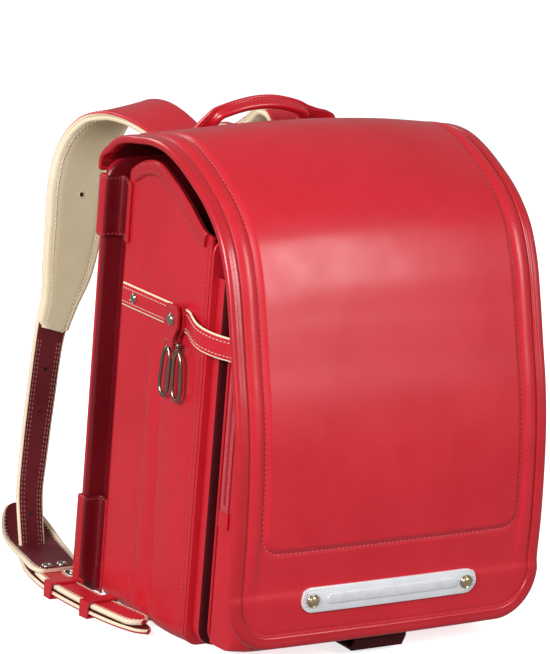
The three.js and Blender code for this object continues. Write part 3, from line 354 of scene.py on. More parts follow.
def ribbon(at, across, width, thickness, lift=0.0, columns=9, puff=0.0, tuck=0.0,
           zones=(0, 0, 0, 0), border=1.0):
    """A strap with rounded edges. zones are the materials of its face, the two halves of its
    edges and its underside; puff raises its middle and tuck presses a line near each edge.
    Beyond the border, as a share of the half width, the underside is of the edge's material."""
    along = directions(at)
    face = unit(np.cross(np.broadcast_to(across, at.shape), along))
    side = unit(np.cross(along, face))
    width = np.broadcast_to(width, len(at))
    half = thickness / 2
    share = np.linspace(-1, 1, columns)
    turn = angles(90, -90, 7)[1:-1]
    flat = np.r_[share, np.ones(5), share[::-1], -np.ones(5)]
    over = np.r_[np.zeros(columns), half * np.cos(turn), np.zeros(columns), -half * np.cos(turn)]
    rise = np.r_[np.full(columns, half), half * np.sin(turn),
                 np.full(columns, -half), -half * np.sin(turn)]
    crest = np.r_[np.sqrt(1 - share**4), np.zeros(5), np.sqrt(1 - share**4), np.zeros(5)]
    press = groove_at(np.abs(flat) - 0.82, 0.07) * (np.abs(rise) >= half - 1e-9)
    rise = rise + np.sign(rise) * (puff * crest - tuck * press)
    face_share = np.abs(share[1:] + share[:-1]) / 2
    under = np.where(face_share > border, zones[2], zones[3])
    edge = np.repeat([zones[1], zones[2]], 3)
    pick = np.r_[np.full(columns - 1, zones[0]), edge, under, edge[::-1]]
    spread = flat[None] * (width[:, None] / 2 - half) + over[None]
    rings = (at[:, None] + side[:, None] * spread[..., None]
             + face[:, None] * (lift + rise)[None, :, None])
    return loft(rings, pick=pick), side, face


def wire(points, radius, normal, closed=False, sides=14):
    along = directions(points, closed)
    across = unit(np.cross(normal, along))
    up = unit(np.cross(along, across))
    angle = np.radians(np.linspace(0, 360, sides, endpoint=False))
    rings = (points[:, None] + across[:, None] * (np.cos(angle) * radius)[None, :, None]
             + up[:, None] * (np.sin(angle) * radius)[None, :, None])
    return loft(rings, loop=closed)


def lathe(profile, centre, axis, segments=28, pick=None):
    """A turned shape: profile rows are [radius, height along the axis]."""
    axis = unit(np.asarray(axis, float))
    helper = Z_AXIS if abs(axis[2]) < 0.9 else X_AXIS
    across = unit(np.cross(axis, helper))
    up = np.cross(axis, across)
    angle = np.radians(np.linspace(0, 360, segments, endpoint=False))
    rings = [np.asarray(centre) + height * axis + max(radius, 0.01)
             * (np.cos(angle)[:, None] * across + np.sin(angle)[:, None] * up)
             for radius, height in profile]
    points, faces, picks = loft(rings)
    if pick is not None:
        rows = np.repeat(pick, segments).tolist()
        picks = rows + [pick[0], pick[-1]]
    return points, faces, picks


def dome(radius, height, centre, axis, rim=0.0, pick=None):
    """A rivet head with a rolled rim."""
    turn = angles(0, 90, 8)
    profile = [(radius * 0.6, 0), (radius * 0.96, 0), (radius, height * 0.16),
               (radius * 0.97, height * 0.3)]
    if rim:
        profile += [(radius * (1 - rim * 0.6), height * 0.42), (radius * (1 - rim), height * 0.3)]
    inner = radius * (0.93 - rim)
    profile += [(inner * math.cos(a), height * (0.34 + 0.66 * math.sin(a))) for a in turn]
    picks = None
    if pick:
        split = 5 if rim else 3
        picks = np.r_[np.full(split, pick[0]), np.full(len(profile) - 1 - split, pick[1])]
    return lathe(profile, centre, axis, pick=picks)


# How far the stitches lean, how far they stand above the leather, and their pitch, length and radius
STITCH_SLANT, THREAD_LIFT = 7.0, 0.05
EDGE_STITCH, PANEL_STITCH, STRAP_STITCH = (3.4, 2.5, 0.34), (3.4, 2.3, 0.36), (3.4, 2.4, 0.34)
SEAM_STITCH, TRIM_STITCH, TAPE_STITCH = (3.2, 2.3, 0.33), (3.0, 2.1, 0.3), (3.2, 2.2, 0.3)
CUSHION_STITCH, HANDLE_STITCH, TAB_STITCH = (3.4, 2.4, 0.32), (3.3, 2.3, 0.34), (2.6, 1.8, 0.28)
REFLECTOR_STITCH = (3.0, 2.2, 0.3)


def stitch_run(points, normals, pitch, length, radius):
    """Short raised threads laid end to end along a line on a surface."""
    joined = np.hstack([points, np.broadcast_to(normals, points.shape)])
    fine = resample(joined, max(int(distances(points)[-1] / pitch) * 4 + 1, 5))
    along = directions(fine[:, :3])
    place, heading, normal = fine[2::4, :3], along[2::4], unit(fine[2::4, 3:])
    heading = unit(heading - normal * (heading * normal).sum(1, keepdims=True))
    beside = np.cross(normal, heading)
    turn = math.radians(STITCH_SLANT)
    heading, beside = (heading * math.cos(turn) + beside * math.sin(turn),
                       beside * math.cos(turn) - heading * math.sin(turn))
    steps = np.array([-0.5, -0.38, 0.0, 0.38, 0.5]) * length
    sizes = np.array([0.4, 0.9, 1.0, 0.9, 0.4]) * radius
    rises = np.array([-0.7, 0.0, 0.3, 0.0, -0.7]) * radius
    angle = np.radians(np.arange(0, 360, 60))
    rings = (place[:, None, None] + heading[:, None, None] * steps[None, :, None, None]
             + normal[:, None, None] * (rises[:, None] + sizes[:, None] * np.sin(angle))[None, ..., None]
             + beside[:, None, None] * (sizes[:, None] * np.cos(angle))[None, ..., None])
    points = rings.reshape(-1, 3)
    base = np.arange(len(place)) * 30
    j = np.arange(6)
    quads = np.concatenate([np.stack([r * 6 + j, r * 6 + (j + 1) % 6, (r + 1) * 6 + (j + 1) % 6,
                                      (r + 1) * 6 + j], 1) for r in range(4)])
    faces = (base[:, None, None] + quads[None]).reshape(-1, 4).tolist()
    for b in base.tolist():
        faces += [[b + k for k in range(5, -1, -1)], [b + 24 + k for k in range(6)]]
    return points, faces, [0] * len(faces)


def stitches(name, runs, material, size):
    """Stitches along runs of (points, normals); the size is their pitch, length and radius."""
    shapes = [stitch_run(np.asarray(p, float), np.asarray(n, float), *size) for p, n in runs]
    piece(name, shapes, material, sharp=80)


def dress(node, material, width=0.35, segments=2):
    """A CAD node that stays, with a material and softened edges."""
    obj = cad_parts[node]
    obj.data.materials.clear()
    obj.data.materials.append(material)
    bevel = obj.modifiers.new("edge", "BEVEL")
    bevel.width = width * MM
    bevel.segments = segments
    bevel.limit_method = "ANGLE"
    bevel.angle_limit = math.radians(40)
    bevel.harden_normals = False
    obj.data.shade_smooth()
    obj.data.set_sharp_from_angle(angle=math.radians(40))
    return obj


# Flap

FLAP_HALF, FLAP_THICK, FLAP_HEIGHT, FLAP_HEM = 128, 3.0, 339, 17
FLAP_CORNER, FLAP_CROWN, PANEL_HEM, RIDGE_END = 34, 9, 64.6, 22
PANEL_CORNER, RIDGE_START, EDGE_LINE = 14, 9.8, 9.2
RIDGE_RISE, PANEL_RISE, PANEL_CROWN = 1.8, 1.6, 0.5
SHEET_INSET = 1.5
SHEET_HALF = FLAP_HALF - SHEET_INSET
TAIL_Y = BOARD_BACK + GAP + FLAP_THICK / 2
FLAP_ROWS = [
    (0.05, 0.961, 0.1), (0.11, 0.972, 0.3), (0.19, 0.979, 0.6), (0.28, 0.985, 0.9),
    (0.37, 0.982, 1), (0.46, 0.966, 1), (0.56, 0.938, 0.95), (0.67, 0.898, 0.8),
    (0.76, 0.845, 0.65), (0.82, 0.778, 0.5), (0.866, 0.69, 0.4), (0.902, 0.61, 0.36),
    (0.938, 0.53, 0.33), (0.963, 0.45, 0.3), (0.978, 0.36, 0.3), (0.986, 0.26, 0.3),
    (0.986, 0.16, 0.3),
]
FLAP_LINE = smooth(
    [(TAIL_Y, 302, 0), (TAIL_Y, BOARD_TOP - 4, 0), (TAIL_Y - 0.9, BOARD_TOP + 0.8, 0),
     (TAIL_Y - 4.2, BOARD_TOP + 4.4, 0.02), (TAIL_Y - 9.5, BOARD_TOP + 8.2, 0.04)]
    + [(BACK_Y - d * TOTAL_DEPTH, h * FLAP_HEIGHT, c) for d, h, c in FLAP_ROWS]
    + [(-TOTAL_DEPTH / 2 + FLAP_THICK / 2 + GAP, FLAP_HEM + s * FLAP_CORNER, 0.3)
       for s in (1, 0.72, 0.48, 0.28, 0.12, 0)],
    900, dims=2)
FLAP_REACH = distances(FLAP_LINE[:, :2])
FLAP_LENGTH = FLAP_REACH[-1]
FLAP_NORMALS = normals(FLAP_LINE[:, :2])
FLAP_FLAT_END = 26.0


def flap_at(x, hem, lift=0.0):
    """A point of the flap from its place across, its way up from the hem and its height."""
    s = np.clip(FLAP_LENGTH - hem, 0, FLAP_LENGTH)
    beyond = np.minimum(hem, 0)
    y, z, crown = (np.interp(s, FLAP_REACH, FLAP_LINE[:, k]) for k in range(3))
    ny, nz = (np.interp(s, FLAP_REACH, FLAP_NORMALS[:, k]) for k in range(2))
    up = lift + FLAP_CROWN * crown * (1 - (x / FLAP_HALF) ** 2)
    return rows_of(x, y + ny * up, z + nz * up + beyond)


def flap_normal(hem):
    s = np.clip(FLAP_LENGTH - hem, 0, FLAP_LENGTH)
    ny, nz = (np.interp(s, FLAP_REACH, FLAP_NORMALS[:, k]) for k in range(2))
    return rows_of(0.0, ny, nz)


def inside(x, hem, half, foot, corner):
    """Distance inward from a panel's sides and foot, with round corners."""
    side, low = half - np.abs(x), hem - foot
    plain = np.minimum(side, low)
    reach = corner - np.hypot(np.maximum(corner - side, 0), np.maximum(corner - low, 0))
    return np.where((side < corner) & (low < corner), reach, plain)


def flap_relief(x, hem):
    """How far the flap's face stands out: its sewn ridge, its grooves and its padded panel."""
    edge = inside(x, hem, FLAP_HALF, 0, FLAP_CORNER)
    panel = inside(x, hem, FLAP_HALF - RIDGE_END, PANEL_HEM, PANEL_CORNER)
    across = (edge - RIDGE_START) / (RIDGE_END - 0.6 - RIDGE_START)
    swell = np.sin(np.pi * np.clip(across, 0, 1)) ** 0.8
    swell = swell * (inside(x, hem + 99, FLAP_HALF, 0, 1) < RIDGE_END) * soft_step(hem, 24, 70)
    height = RIDGE_RISE * swell - 0.55 * groove_at(edge - EDGE_LINE, 0.8)
    height = height - 0.7 * groove_at(panel - 0.2, 0.9)
    height = height + PANEL_RISE * soft_step(panel, 0.6, 4.5) + PANEL_CROWN * soft_step(panel, 2, 45)
    return height * soft_step(FLAP_LENGTH - hem, FLAP_FLAT_END, FLAP_FLAT_END + 22)


def make_flap():
    hems = np.unique(np.r_[np.linspace(FLAP_LENGTH, 96, 150), np.linspace(96, 52, 40),
                           np.linspace(52, 34, 10), np.linspace(34, 0, 36)])[::-1]
    corner = FLAP_CORNER - SHEET_INSET
    below = np.maximum(corner - hems, 0)
    half = SHEET_HALF - corner + np.sqrt(np.maximum(corner**2 - below**2, 0))
    near = np.r_[np.arange(0, 28, 1.1), np.linspace(29, SHEET_HALF, 24)]
    share = 1 - near / SHEET_HALF
    share = np.r_[share, -share[-2::-1]]
    under = np.linspace(-1, 1, 15)
    rings = []
    for hem, reach in zip(hems, half):
        x = share * reach
        top = flap_at(x, hem, FLAP_THICK / 2 + flap_relief(x, hem))
        low = flap_at(under * reach, hem, -FLAP_THICK / 2)
        rings.append(np.vstack([top, low]))
    # The flap's underside is painted shade
    pick = np.r_[np.zeros(len(share) - 1), np.ones(len(under) + 1)].astype(int)
    piece("flap_sheet", [loft(rings, pick=pick)], [RED, DEEP_SHADE], "flap", sharp=50)


def outline(half, foot, corner, rise, turns, unders):
    """Rows of [x, hem, inward x, inward hem] round the sides and foot of a sheet. The rise holds
    the places up a side; turns and unders count the points of a corner and of half the foot."""
    turn = angles(0, 90, turns)
    left = [(-half, h, 1, 0) for h in rise]
    left += [(-(half - corner) - corner * math.cos(a), foot + corner - corner * math.sin(a),
              math.cos(a), math.sin(a)) for a in turn]
    left += [(x, foot, 0, 1) for x in np.linspace(-(half - corner) + 4, 0, unders)]
    left = np.array(left)
    return np.vstack([left, left[-2::-1] * [-1, 1, -1, 1]])


def flap_outline(inset):
    """The flap's edge, moved inward."""
    corner = FLAP_CORNER - SHEET_INSET - inset
    rise = np.linspace(FLAP_LENGTH - 1, corner + inset + 1, 230)
    return outline(SHEET_HALF - inset, inset, corner, rise, 22, 24)


def make_binding():
    edge, skin = flap_outline(0), FLAP_THICK / 2
    half = [(7.7, 1.2), (7.5, 2.1), (6.8, 2.65), (5.6, 2.85), (4.8, 2.7), (4.0, 2.85), (2.4, 2.95),
            (0.8, 2.8), (-0.5, 2.25), (-1.2, 1.3), (-1.5, 0)]
    section = np.array(half + [(u, -v) for u, v in half[-2::-1]])
    rings = []
    for x, hem, ux, uh in edge:
        low = -skin - skin * soft_step(FLAP_LENGTH - hem, 8, 24)
        inward, lift = section[:, 0], np.maximum(section[:, 1], low)
        rings.append(flap_at(x + ux * inward, hem + uh * inward, lift))
    piece("flap_bound_edge", [loft(rings)], RED_EDGE, "flap_binding", sharp=60)


def flap_stitches():
    runs = []
    for inset, lift in ((3.3, 2.6), (8.2, 1.25)):
        line = flap_outline(inset)
        runs.append((flap_at(line[:, 0], line[:, 1], lift), flap_normal(line[:, 1])))
    stitches("flap_edge_stitches", runs, RED_THREAD, EDGE_STITCH)
    corner = PANEL_CORNER - 0.5
    rise = np.linspace(FLAP_LENGTH - 34, PANEL_HEM + corner, 200)
    line = outline(FLAP_HALF - RIDGE_END - 0.4, PANEL_HEM, corner, rise, 12, 30)
    lift = FLAP_THICK / 2 + flap_relief(line[:, 0], line[:, 1]) + 0.1
    whole = (flap_at(line[:, 0], line[:, 1], lift), flap_normal(line[:, 1]))
    stitches("flap_panel_stitches", [whole], PALE_THREAD, PANEL_STITCH)


REFLECTOR_UP, REFLECTOR_HALF, REFLECTOR_END, RIVET_OUT = 47.5 - FLAP_HEM, 72, 8.5, 63.5


def bar_on_flap(low, high, radius, bottom, top, edge):
    """A flat bar with round ends that follows the flap."""
    ends = np.sin(angles(0, 90, 9))
    xs = np.r_[low + radius * (1 - ends[::-1]), np.linspace(low + radius + 3, high - radius - 3, 40),
               high - radius * (1 - ends)]
    xs[0], xs[-1] = low + 0.05, high - 0.05
    rings = []
    for x in xs:
        out = max(radius - min(x - low, high - x), 0)
        reach = math.sqrt(max(radius**2 - out**2, 0.04))
        e = min(edge, reach * 0.4)
        half = [(reach - e, top), (reach - 0.3 * e, top - 0.3 * e), (reach, top - e), (reach, bottom)]
        section = np.array([(-u, v) for u, v in half[::-1]] + half)
        rings.append(flap_at(x, REFLECTOR_UP + section[:, 0], section[:, 1]))
    return loft(rings)


def make_reflector():
    face = 3.2
    backing = bar_on_flap(-REFLECTOR_HALF, REFLECTOR_HALF, REFLECTOR_END, 1.45, face, 0.5)
    piece("reflector_backing", [backing], STRIP, "reflector_strip")
    piece("reflector_insert", [bar_on_flap(-52, 56, 3, 2.6, 3.6, 0.35)], FILM)
    inset = 1.9
    height = REFLECTOR_END - inset
    line = rounded(REFLECTOR_HALF - inset, REFLECTOR_UP - height, REFLECTOR_UP + height, 6.5, 6.5, 10)
    line = np.vstack([line, line[:1]])
    run = flap_at(line[:, 0], line[:, 1], face), flap_normal(line[:, 1])
    stitches("reflector_stitches", [run], WHITE_THREAD, REFLECTOR_STITCH)
    for word, side in SIDES:
        head = dome(4.8, 2.3, flap_at(side * RIVET_OUT, REFLECTOR_UP, face), (0, -1, 0), 0.2, (1, 0))
        piece(f"reflector_rivet_head_{word}", [head], [BRASS, STEEL],
              f"reflector_rivet_{word}")


make_flap()
make_binding()
flap_stitches()
make_reflector()


# Main compartment

ARCH = smooth([(BACK_Y - d * BODY_DEPTH, h * BODY_HEIGHT) for d, h in (
    (0, 0.922), (0.105, 0.945), (0.18, 0.966), (0.29, 0.99), (0.44, 1), (0.6, 0.975),
    (0.765, 0.938), (0.92, 0.896), (1, 0.889))], 160, dims=2)
WALL, CORNER, WALL_TOP = 2.4, 11.0, 284
WALL_BACK = BODY_FRONT - GAP
WALL_FRONT = WALL_BACK - WALL


def arch_height(y):
    return np.interp(y, ARCH[::-1, 0], ARCH[::-1, 1])


def near_line(y, z, rows):
    """Distance from points on the side wall to a line of [y, z] rows."""
    best = np.full(np.broadcast(y, z).shape, 1e9)
    for (y0, z0), (y1, z1) in zip(rows, rows[1:]):
        dy, dz = y1 - y0, z1 - z0
        t = np.clip(((y - y0) * dy + (z - z0) * dz) / (dy * dy + dz * dz), 0, 1)
        best = np.minimum(best, np.hypot(y - y0 - t * dy, z - z0 - t * dz))
    return best


SEAM_BACK = [(79, 250), (64, 241), (50.5, 238), (45, 231), (41.5, 216), (40.3, 193), (40, 130),
             (39.7, 30), (39.7, 6)]
CREASE = np.array([(17.8, 10), (18.5, 60), (20, 110), (22, 150), (24.5, 190), (26, 214)])
SEAM_FRONT = [(-26, 280), (-26, 12)]
SEAM_SHORT = [(-12, 241), (-25, 241)]
GUTTER, GUTTER_DEPTH = 21, 8


def wall_relief(y, z):
    """How far the side wall stands out: its seams, its crease and the swell on both sides of it."""
    relief = -0.5 * groove_at(near_line(y, z, SEAM_BACK), 1.3)
    fold_at = np.interp(z, CREASE[:, 1], CREASE[:, 0])
    low = soft_step(-z, -215, -150)
    relief += -1.9 * np.exp(-np.abs(y - fold_at) / 1.4) * low
    relief += -0.4 * groove_at(y + 24.2, 1.0)
    relief += 0.9 * np.sin(np.clip((y - fold_at) / (40 - fold_at), 0, 1) * np.pi) * low
    relief += 1.1 * np.sin(np.clip((fold_at - y) / (fold_at + 24), 0, 1) * np.pi) * low
    return relief


def gutter(y):
    """How far the side wall turns in before the back board."""
    away = (BACK_Y - y) / GUTTER
    share = np.interp(away, [0, 0.35, 0.7, 1], [1, 0.9, 0.4, 0])
    return GUTTER_DEPTH * soft_step(share, 0, 1)


def make_trough(name, stations, half_at, top_at, bottom, wall, corner, relief, node, material,
                rise=84, groove=(0, 0), shade=GROOVE_SHADE):
    """A sheet bent into two sides and a bottom; its inner faces are painted shade, and so is a strip of its
    outer face between the groove's depths.
    """
    rings = []
    up = np.linspace(1, 0, rise)
    for y in stations:
        half, top = half_at(y), top_at(y)
        left = rows_of(-half, bottom + corner + up * (top - bottom - corner))
        turn = arc(-half + corner, bottom + corner, corner, 180, 270, 8)[1:]
        under = rows_of(np.linspace(-half + corner, half - corner, 18)[1:-1], bottom)
        line = np.vstack([left, turn, under, (turn * [-1, 1])[::-1], (left * [-1, 1])[::-1]])
        push = relief(y, line[:, 1])[:, None] if relief else 0
        ring = np.vstack([line + normals(line) * push, offset(line, wall)[::-1]])
        rings.append(rows_of(ring[:, 0], y, ring[:, 1]))
    size = len(rings[0])
    # Inner faces take painted shade; the outer faces between the groove's depths take the shade material, a
    # strip of painted shade
    pick = np.tile(np.repeat([0, 1], size // 2), (len(rings) - 1, 1))
    middles = (np.asarray(stations)[1:] + np.asarray(stations)[:-1]) / 2
    pick[(middles > groove[0]) & (middles < groove[1]), :size // 2] = 2
    piece(name, [loft(rings, pick=pick)], [material, DEEP_SHADE, shade], node, sharp=42)


# The gutter before the back board is a strip of painted shade
make_trough("main_side_and_base", np.linspace(BACK_Y, BODY_FRONT, 64),
            lambda y: HALF_BODY - gutter(y), arch_height, 0, WALL, CORNER, wall_relief,
            "main_gusset", RED, rise=110, groove=(BACK_Y - 14.5, BACK_Y))
piece("compartment_front_wall",
      [board(HALF_BODY, 0, WALL_TOP, CORNER, CORNER, WALL_FRONT, WALL_BACK, 0.9)], RED, "front_wall")


def make_board():
    points, faces, _ = board(HALF_BOARD, 0, BOARD_TOP, 7, 16, BOARD_FRONT, BOARD_BACK, 2.9)
    # Faces on the board's front, in the gutter, take painted shade
    front = [int(max(points[i][1] for i in face) < BOARD_FRONT + 2.2) for face in faces]
    piece("back_board_cover", [(points, faces, front)], [RED_EDGE, GROOVE_SHADE], "back_board")


make_board()


def wall_point(side, y, z, lift=0.0):
    """Points on the side wall's face."""
    x = HALF_BODY - gutter(y) + wall_relief(y, z) + lift
    return rows_of(side * x, y, z)


def make_sides(word, side):
    out = np.array([side, 0, 0.0])
    away = (BACK_Y - ARCH[:, 0]) / BODY_DEPTH
    line = smooth(ARCH[(away > 0.18) & (away < 0.96)], 90, dims=2)
    down = offset(line, 1.0) - line
    if down[0, 1] > 0:
        down = -down
    middle = line + down * 4.5
    at = rows_of(side * (HALF_BODY + GAP + 0.15), middle[:, 0], middle[:, 1])
    shape, _, _ = ribbon(at, rows_of(0.0, down[:, 0], down[:, 1]), 10.5, 0.9, puff=1.5, columns=21)
    piece(f"arch_trim_{word}", [shape], RED_EDGE, f"side_collar_{word}")
    runs = []
    for share in (1.9, 7.2):
        edge = line + down * share
        runs.append((rows_of(side * (HALF_BODY + GAP + 2.0), edge[:, 0], edge[:, 1]), out))
    low = line + down * 12.5
    runs.append((wall_point(side, low[:, 0], low[:, 1], 0.12), out))
    for rows, shift, count in ((SEAM_BACK, -1.6, 120), (SEAM_FRONT, 0, 120), (SEAM_SHORT, 0, 12)):
        seam = resample(np.array(rows, float), count, dims=2)
        runs.append((wall_point(side, seam[:, 0] + shift, seam[:, 1], 0.12), out))
    stitches(f"side_stitches_{word}", runs, RED_THREAD, SEAM_STITCH)


SLEEVE_SKIN = SLEEVE_SHEET + GAP
SLEEVE_LINE = [
    (HALF_BODY + SLEEVE_SKIN, BACK_Y - GUTTER - SLEEVE_SKIN), (HALF_BODY + SLEEVE_SKIN, BACK_Y - GUTTER),
    (HALF_BODY - 1.4, BACK_Y - 0.7 * GUTTER), (HALF_BODY - 4.6, BACK_Y - 9.5),
    (HALF_BODY - 5.4, BACK_Y - 5.5), (HALF_BODY - 4.6, BOARD_FRONT - 2.8),
    (HALF_BODY - 2.4, BOARD_FRONT - 1.9), (HALF_BOARD - 0.7, BOARD_FRONT - SLEEVE_SKIN),
    (HALF_BOARD + 1.0, BOARD_FRONT - 1.3), (HALF_BOARD + SLEEVE_SKIN, BOARD_FRONT + 0.4),
    (HALF_BOARD + SLEEVE_SKIN, BOARD_BACK - 0.4), (HALF_BOARD + 1.0, BOARD_BACK + 1.4),
    (HALF_BOARD - 1.5, BOARD_BACK + SLEEVE_SKIN), (HALF_BODY - 9, BOARD_BACK + SLEEVE_SKIN),
]


def make_sleeve(name, side, bottom, top, skipped, node):
    """Leather round the board's flange; skipped counts the rows of its line that are left out."""
    rows = smooth(SLEEVE_LINE[skipped:], 150, dims=2)
    line = offset(rows, SLEEVE_SHEET / 2)
    at = rows_of(side * line[:, 0], line[:, 1], (bottom + top) / 2)
    (points, faces, picks), _, _ = ribbon(at, Z_AXIS, top - bottom, SLEEVE_SHEET, puff=0.12)
    # Faces in the gutter, in front of the board, take painted shade
    middle = np.array([points[face].mean(0) for face in faces])
    inner = (np.abs(middle[:, 0]) < HALF_BODY - 0.6) | (middle[:, 1] > BOARD_FRONT - 8)
    gutter_shade = inner & (middle[:, 1] < BOARD_FRONT - 0.6)
    shape = points, faces, gutter_shade.astype(int).tolist()
    lip = rows_of(side * (rows[0, 0] - 0.7), rows[0, 1] - 0.2,
                  np.linspace(bottom + 0.6, top - 0.6, 20))
    piece(name, [shape, wire(lip, 1.1, Y_AXIS)], [RED_EDGE, GROOVE_SHADE], node, sharp=45)
    outer = offset(rows, -0.15)
    normal = rows_of(side * normals(outer)[:, 0], normals(outer)[:, 1], 0.0)
    runs = [(rows_of(side * outer[:, 0], outer[:, 1], level), normal)
            for level in (bottom + 2.0, top - 2.0)]
    stitches(f"{name}_stitches", runs, RED_THREAD, SEAM_STITCH)


# Front compartments

MIDDLE_DEPTH, MIDDLE_HALF, MIDDLE_TOP, FOLD_DEPTH, PLATE = 17, 115, 258, 11, 2.2
MIDDLE_BACK = WALL_FRONT - GAP
PLATE_FRONT = MIDDLE_BACK - MIDDLE_DEPTH - GAP - PLATE
POCKET_BACK = PLATE_FRONT - GAP
FOLD = smooth([(0, 0.12), (0.06, 0.0), (0.3, -0.04), (0.5, 0.05), (0.72, 1), (0.86, 0.82), (1, 0.55)],
              80, dims=2)
FOLD_STATIONS = np.unique(np.r_[np.linspace(0, 0.45, 10), np.linspace(0.45, 1, 20)])


def fold_half(y):
    away = (MIDDLE_BACK - y) / MIDDLE_DEPTH
    return MIDDLE_HALF - FOLD_DEPTH * np.interp(away, FOLD[:, 0], FOLD[:, 1])


def fold_top(y):
    return MIDDLE_TOP - 1.2 * abs((MIDDLE_BACK - y) / MIDDLE_DEPTH - 0.3)


# The deep part of the fold is a strip of painted shade
make_trough("middle_folded_side", MIDDLE_BACK - MIDDLE_DEPTH * FOLD_STATIONS, fold_half, fold_top,
            2.4, 1.8, 13, None, "middle_gusset", RED, rise=40, shade=SHADE,
            groove=(MIDDLE_BACK - MIDDLE_DEPTH, MIDDLE_BACK - 8.2))
piece("middle_front_panel", [board(114, 4.4, 254, 14, 14, PLATE_FRONT, PLATE_FRONT + PLATE, 0.8)],
      RED_EDGE, "middle_front")

POCKET_ROWS = smooth([(0, 0.02), (0, 0.5), (0.004, 0.78), (0.02, 0.9), (0.06, 0.97), (0.22, 0.985),
                      (0.42, 0.96), (0.58, 0.88), (0.72, 0.78), (0.88, 0.58), (0.955, 0.45), (0.99, 0.34),
                      (1, 0.24), (1, 0.02)], 120, dims=2)
CORNER_ROWS = np.array([(0, 0.72, 0.95), (0.08, 0.775, 0.963), (0.2, 0.84, 0.978), (0.5, 0.95, 0.994),
                        (0.75, 0.985, 0.998), (1, 1, 1)])
POCKET_HALF, POCKET_LOW, POCKET_HIGH, POCKET_DEPTH, POCKET_TURN = 113, 9, 236, 38, 22
ZIP_WIDTH, ZIP_SHEET, ZIP_TEETH, TOOTH_HALF = 9, 1.1, 560, 0.32


def pocket_section(x):
    """The pocket's outline at one place across."""
    away = (POCKET_HALF - abs(x)) / POCKET_TURN
    depth = np.interp(away, CORNER_ROWS[:, 0], CORNER_ROWS[:, 1])
    top = np.interp(away, CORNER_ROWS[:, 0], CORNER_ROWS[:, 2]) * POCKET_HIGH
    height = POCKET_LOW + POCKET_ROWS[:, 0] * (top - POCKET_LOW)
    return rows_of(x, POCKET_BACK - POCKET_ROWS[:, 1] * depth * POCKET_DEPTH, height)


def make_pocket():
    turn = np.linspace(POCKET_HALF, POCKET_HALF - POCKET_TURN, 20)
    xs = np.r_[-turn, np.linspace(-88, 88, 30)[1:-1], turn[::-1]]
    piece("zip_pocket", [loft([pocket_section(x) for x in xs])], RED, "front_pocket",
          sharp=50)

    rise = np.array([(POCKET_HALF - a * POCKET_TURN, t * POCKET_HIGH) for a, _, t in CORNER_ROWS])
    right = np.vstack([[POCKET_HALF, 101], [POCKET_HALF, 150], [POCKET_HALF, 205], rise])
    whole = np.vstack([right, right[::-1] * [-1, 1]])
    line = resample(whole, 400, dims=2)
    normal = normals(line)
    centre = POCKET_BACK - 0.85 * ZIP_WIDTH

    def along(lift, y):
        moved = line + normal * lift
        return rows_of(moved[:, 0], y, moved[:, 1])

    shape, _, _ = ribbon(along(GAP + ZIP_SHEET / 2, centre), -Y_AXIS, ZIP_WIDTH, ZIP_SHEET)
    piece("zip_tape_strip", [shape], ZIP_CLOTH, "zip_tape")
    facing = rows_of(normal[:, 0], 0.0, normal[:, 1])
    stitches("zip_stitches", [(along(GAP + 1.12, centre + k), facing) for k in (-3.6, 3.6)],
             PALE_THREAD, TAPE_STITCH)
    at = along(GAP + 1.2, centre)[6:-6]
    fine = resample(np.hstack([at, facing[6:-6]]), ZIP_TEETH)
    heading = directions(fine[:, :3])
    shapes = []
    for i, (row, ahead) in enumerate(zip(fine, heading)):
        place, up = row[:3], unit(row[3:])
        beside = np.cross(up, ahead) * (1 if i % 2 else -1)
        corners = [(-0.2, 0.0), (1.3, -0.1), (1.3, 0.35), (0.8, 0.6), (-0.2, 0.6)]
        ring = [place + beside * u + up * v for u, v in corners]
        shapes.append(loft([[p + ahead * k for p in ring] for k in (-TOOTH_HALF, TOOTH_HALF)]))
    piece("zip_teeth", shapes, RED_EDGE, sharp=30)
    for word, side in SIDES:
        x = side * (POCKET_HALF + GAP + 0.9)
        at = rows_of(x, centre, np.linspace(92, 103, 12))
        shape, _, _ = ribbon(at, Y_AXIS, 11.5, 1.8, columns=7, puff=0.2)
        piece(f"zip_end_{word}", [shape], RED)


make_pocket()

# Side band, hook tab and hook

BAND_UP, BAND_HEIGHT, BAND_BULGE = 222, 16, 5.2
HOOK_Y = BACK_Y - 0.765 * BODY_DEPTH
TAB_FACE = HALF_BODY + 2 * GAP + 2
BAR_RADIUS, BAR_HALF, KNOB, HOOK_WIRE, HOOK_DROP, LOOP_WIDTH = 1.1, 6.6, 2.3, 1.35, 34, 10
FOLD_RADIUS = BAR_RADIUS + GAP
BAR_X = TAB_FACE + TAB_SHEET + FOLD_RADIUS
BAR_Z = BAND_UP + BAND_HEIGHT * 0.62 - 27
LOOP_TOP = KNOB + GAP + HOOK_WIRE
BAND_ROWS = [(0.18, 0, 0), (0.45, 0, 0), (0.7, 0, 0), (0.845, 0, 0.03), (0.91, 0.5, 0.12),
             (0.98, 0.9, 0.25), (1.06, 0.85, 0.36), (1.15, 0.15, 0.45), (1.21, -0.55, 0.48),
             (1.27, -0.93, 0.48)]


